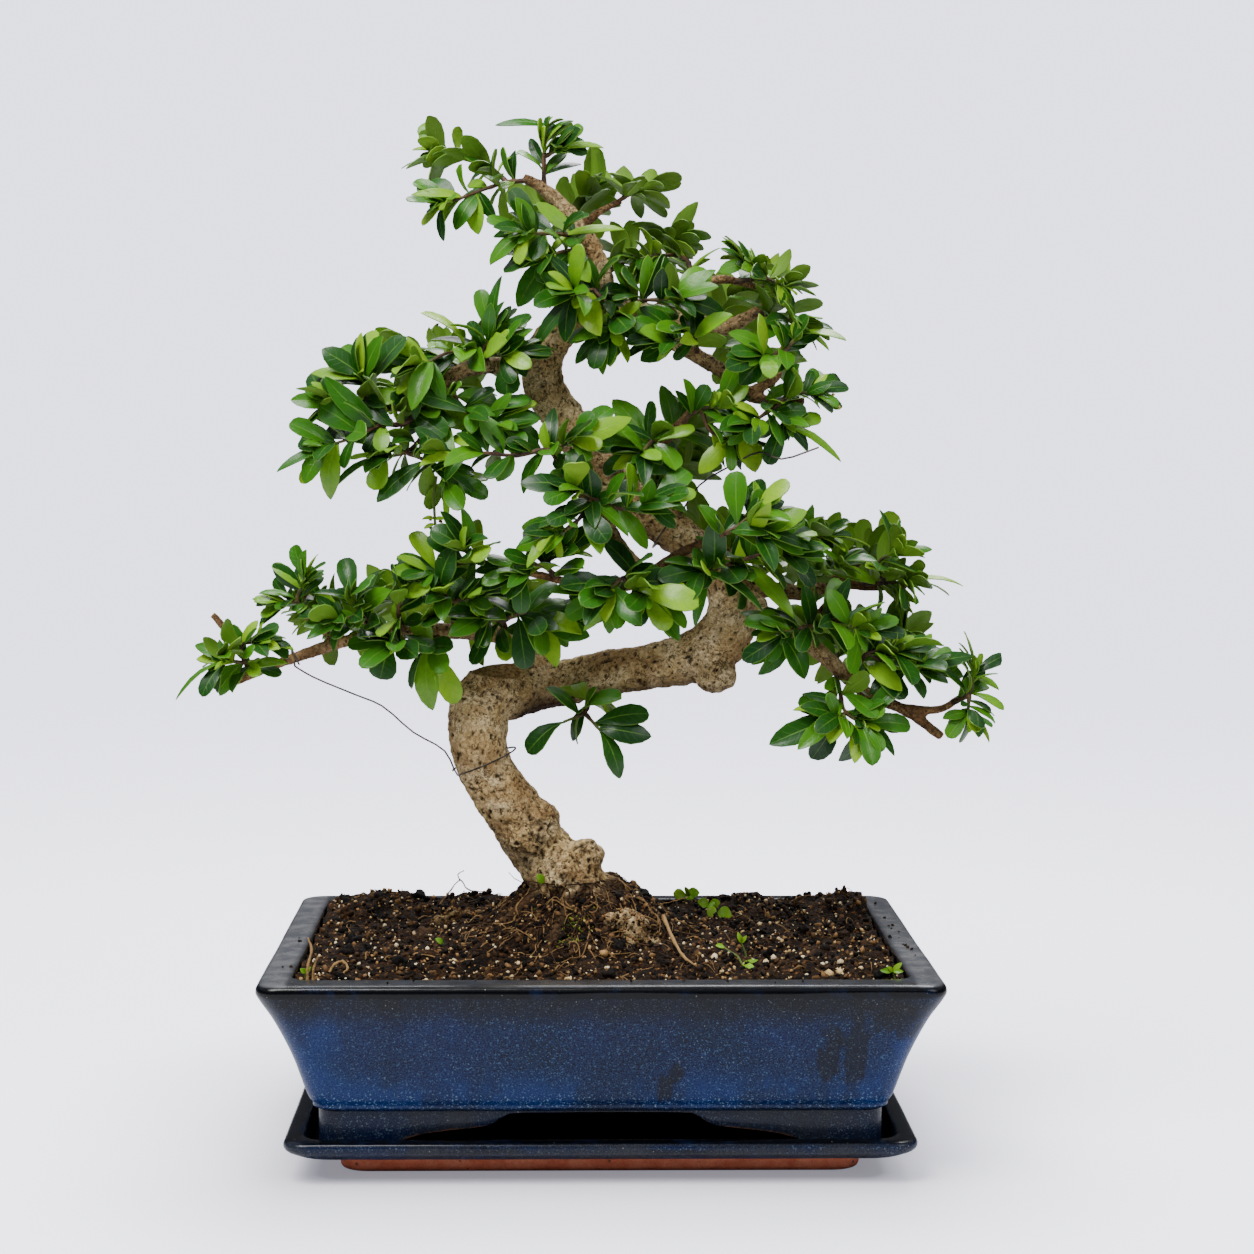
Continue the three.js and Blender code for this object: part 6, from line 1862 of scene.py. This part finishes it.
def makeSprouts():
    dice = random.Random(9)
    bm = bmesh.new()
    stems = []
    for plant in sprouts:
        x, y = plant["place"]
        ground = Vector((x, y, soilTop(x, y)))
        stems.append([(ground + Vector(point), 0.45 - 0.08 * i) for i, point in enumerate(plant["stem"])])
        for root, reach, width in plant["leaves"]:
            outline, tone = "elliptic" if width > 3 else "lance", dice.uniform(0.75, 1)
            smallLeaf(bm, outline, ground + Vector(root), reach, width, (0, -1, 0.55), tone, dice)
    for root, reach, width, outline, tone in extras["leaves"]:
        smallLeaf(bm, outline, root, reach, width, (0.2, -1, 0.4), tone, dice)
    stems.append([(Vector(point), 0.62 - 0.04 * i) for i, point in enumerate(extras["stalk"])])
    for root, reach in extras["stalk stars"]:
        smallLeaf(bm, "lance", root, reach, extras["star width"], (0, -0.7, 0.7), 1.0, dice)
    pourTwigs(bm, stems, lambda place: 1.0)
    newPiece("seedlings", meshFrom(bm, "seedlings", 50), leafMaterials)

    shapes = pebbles(5, dice, 1, 0.6)
    bm = bmesh.new()
    mossTufts(bm, shapes, dice)
    stops = [(0.0, (34, 44, 10)), (0.5, (82, 96, 22)), (1.0, (142, 152, 44))]
    newPiece("moss", meshFrom(bm, "moss"), [scrapMaterial("moss", stops, 0.95, 0.5)])

    bm = bmesh.new()
    for places, size, shades in budRows:
        for place in places:
            place = matrixAt(place, anyTurn(dice), size)
            shadedCopy(bm, dice.choice(shapes), place, dice.uniform(*shades))
    stops = [(0.0, (84, 44, 24)), (0.4, (132, 92, 44)), (1.0, (206, 204, 110))]
    newPiece("buds", meshFrom(bm, "buds"), [scrapMaterial("bud", stops, 0.7, 0.3)])
    print("seedlings, moss and buds made")


makeSprouts()




# Guy wires, thin and slightly kinked, and the drainage screens.

wireRadius = 0.36
wireKink = 0.5
wireTurn = {"steps": 22, "angle": math.pi * 1.9, "climb": 0.3}
# A turn is its centre, axis, radius and the way to its first point.
guyWires = {
    "guy_wire_left": {
        "first turn": ((-44.6, -2, 145), (-0.37, 0, 0.93), 13, (-1, -0.5, 0)),
        "run": [(-60, -11, 150), (-72, -13, 158.5), (-84, -15, 168), (-94, -17, 173.5), (-110, -19, 179.5)],
        "last turn": ((-118, -18, 187), (0.94, 0.13, 0.32), 3.1, (0.2, 0, -1)),
    },
    "guy_wire_right": {
        "first turn": ((27.5, 9, 235.6), (-0.8, 0.08, 0.6), 9.6, (0.5, -0.7, 0.6)),
        "run": [(38, -10, 253), (50, -20, 262), (60, -27, 266), (68, -29, 264.5), (82, -31, 268)],
    },
}


def turnPoints(centre, axis, radius, start):
    axis, start = Vector(axis).normalized(), Vector(start)
    u = (start - axis * start.dot(axis)).normalized()
    w = axis.cross(u)
    points = []
    for i in range(wireTurn["steps"] + 1):
        angle = i / wireTurn["steps"] * wireTurn["angle"]
        out = u * math.cos(angle) + w * math.sin(angle)
        points.append(Vector(centre) + out * radius + axis * (wireTurn["climb"] * angle))
    return points


def wireMaterial():
    paint = newPaint("guy wire", Metallic=0.85)
    fleck = paint.flecks(2200.0, 160.0, 600.0, 0.2)
    color = paint.layers((58, 54, 50), ((116, 108, 98), fleck["Coarse"]), ((92, 60, 40), fleck["Spots"], 0.6))
    return paint.finish(color, paint.ramp(fleck["Coarse"], 0.0, 1.0, 0.35, 0.6), (fleck["Fine"], 0.3, 0.05))


def screenMaterial():
    paint = newPaint("screen plastic")
    fleck = paint.flecks(1200.0, 140.0, 300.0, 0.12)
    color = paint.layers((26, 52, 36), ((44, 74, 52), fleck["Coarse"]), ((84, 62, 44), fleck["Spots"], 0.7))
    return paint.finish(color, paint.ramp(fleck["Fine"], 0.0, 1.0, 0.45, 0.7), (fleck["Fine"], 0.25, 0.1))


def makeWires():
    material = wireMaterial()
    for name, parts in guyWires.items():
        run = [Vector(row) + upward * wireKink * (-1) ** i for i, row in enumerate(parts["run"])]
        line = turnPoints(*parts["first turn"])[::-1] + run
        if "last turn" in parts:
            line += turnPoints(*parts["last turn"])
        rows = [(*point, wireRadius) for point in line]
        newPiece(name + "_line", tubeMesh([smoothLine(rows, 3)], 1), [material], [name])
    print("guy wires made")


def finishScreens():
    material = screenMaterial()
    for name in ("drain_screen_left", "drain_screen_right"):
        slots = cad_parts[name].data.materials
        slots.clear()
        slots.append(material)


# Floor, light and camera.

stageSettings = {
    "floor radius": 2.2, "wall rise": 1.9, "wall radius": 3.4,        # metres
    "floor": (232, 232, 237), "far floor": (112, 113, 118), "near": 0.5, "far": 1.5,
    "glow": (228, 229, 246), "near glow": 2.35, "far glow": 3.0,
    # The painted shadow round the saucer's foot: shade is its colour, the steps give its reach and strength.
    "foot half": (0.0972, 0.0657), "shade": (168, 158, 158),
    "painted shadow steps": [(0.013, 0.12), (0.05, 0.2), (0.14, 0.62)],        # reach in metres, strength
    "darkest": 0.86, "painted shadow falloff": 4.0,
    "world": (235, 238, 246), "world strength": 0.5,
    "lights": [                                                       # place, aim, size, watts
        ((-0.55, -0.6, 1.45), (0, 0, 0.15), 0.9, 34),
        ((0.85, -0.8, 0.9), (0, 0, 0.15), 0.8, 6),
        ((0.15, 0.9, 1.3), (0, 0, 0.15), 1.0, 20),
    ],
}

cameraSettings = {
    "lens": 76.16, "sensor": 36, "place": (-15.2, -1032.2, 277.7), "yaw": 0.025, "pitch": 0.0771, "roll": 0.004,
}


# The floor is lifted to the photo's pale grey for the camera alone, so that it throws no haze on the glaze.
def floorMaterial():
    settings = stageSettings
    paint = newPaint("floor", Roughness=0.6, Emission_Color=srgb(settings["glow"]))
    away = paint.vector("LENGTH", paint.place)["Value"]
    distant = paint.ramp(away, settings["near"], settings["far"])
    # How near a point is to the saucer's foot, for the painted shadow that darkens the floor's colour and glow
    # round it.
    squares = []
    for axis, half in enumerate(settings["foot half"]):
        beside = paint.calc("SUBTRACT", paint.calc("ABSOLUTE", paint.axis(axis)), half)
        squares.append(paint.calc("POWER", paint.calc("MAXIMUM", beside, 0.0), 2.0))
    gap = paint.calc("SQRT", paint.plus(*squares))
    paintedShadow = 0.0
    for reach, strength in settings["painted shadow steps"]:
        paintedShadow = paint.plus(paint.ramp(gap, reach, 0.0, 0.0, strength), paintedShadow)
    paintedShadow = paint.calc("MINIMUM", paintedShadow, settings["darkest"])
    color = paint.layers(settings["floor"], (settings["far floor"], distant),
                         (settings["shade"], paint.calc("POWER", paintedShadow, settings["painted shadow falloff"])))
    seen = paint.node("LightPath", {}).outputs["Is Camera Ray"]
    glow = paint.ramp(distant, 0.0, 1.0, settings["near glow"], settings["far glow"])
    glow = paint.times(glow, paint.calc("SUBTRACT", 1.0, paintedShadow))
    paint.tree.links.new(color, paint.shader.inputs["Base Color"])
    paint.tree.links.new(paint.times(seen, glow), paint.shader.inputs["Emission Strength"])
    return paint.material


def makeFloor():
    settings = stageSettings
    bm = bmesh.new()
    flat, rise, wide = settings["floor radius"], settings["wall rise"], settings["wall radius"]
    angles = [math.radians(a) for a in range(0, 91, 10)]
    profile = [(0, 0)] + [(flat + (wide - flat) * math.sin(a), rise * (1 - math.cos(a))) for a in angles]
    verts = [bm.verts.new((x, 0, z)) for x, z in profile]
    edges = [bm.edges.new(pair) for pair in zip(verts, verts[1:])]
    bmesh.ops.spin(bm, geom=verts + edges, cent=(0, 0, 0), axis=(0, 0, 1), angle=2 * math.pi, steps=64,
                   use_merge=True)
    bmesh.ops.remove_doubles(bm, verts=bm.verts, dist=1e-5)
    bmesh.ops.recalc_face_normals(bm, faces=bm.faces)
    floor = newObject("floor", meshFrom(bm, "floor"))
    floor.data.materials.append(floorMaterial())


def makeLights():
    settings = stageSettings
    world = bpy.data.worlds.new("studio")
    bpy.context.scene.world = world
    world.use_nodes = True
    background = world.node_tree.nodes["Background"]
    background.inputs["Color"].default_value = srgb(settings["world"])
    background.inputs["Strength"].default_value = settings["world strength"]
    for i, (place, aim, size, watts) in enumerate(settings["lights"]):
        light = bpy.data.lights.new(f"softbox {i + 1}", "AREA")
        light.shape = "DISK"
        light.size = size
        light.energy = watts
        holder = newObject(light.name, light)
        holder.location = place
        holder.rotation_euler = (Vector(aim) - Vector(place)).to_track_quat("-Z", "Y").to_euler()


def makeCamera():
    settings = cameraSettings
    yaw, pitch, roll = settings["yaw"], settings["pitch"], settings["roll"]
    ahead = Vector((math.sin(yaw) * math.cos(pitch), math.cos(yaw) * math.cos(pitch), -math.sin(pitch)))
    right = Vector((math.cos(yaw), -math.sin(yaw), 0))
    up = right.cross(ahead)
    right, up = right * math.cos(roll) + up * math.sin(roll), up * math.cos(roll) - right * math.sin(roll)
    lens = bpy.data.cameras.new("camera")
    lens.lens = settings["lens"]
    lens.sensor_width = settings["sensor"]
    camera = newObject("camera", lens)
    turn = Matrix((right, up, -ahead)).transposed().to_4x4()
    camera.matrix_world = Matrix.Translation(Vector(settings["place"]) * mm) @ turn
    bpy.context.scene.camera = camera


makeWires()
finishScreens()
makeFloor()
makeLights()
makeCamera()
bpy.context.view_layer.update()
print("scene complete")
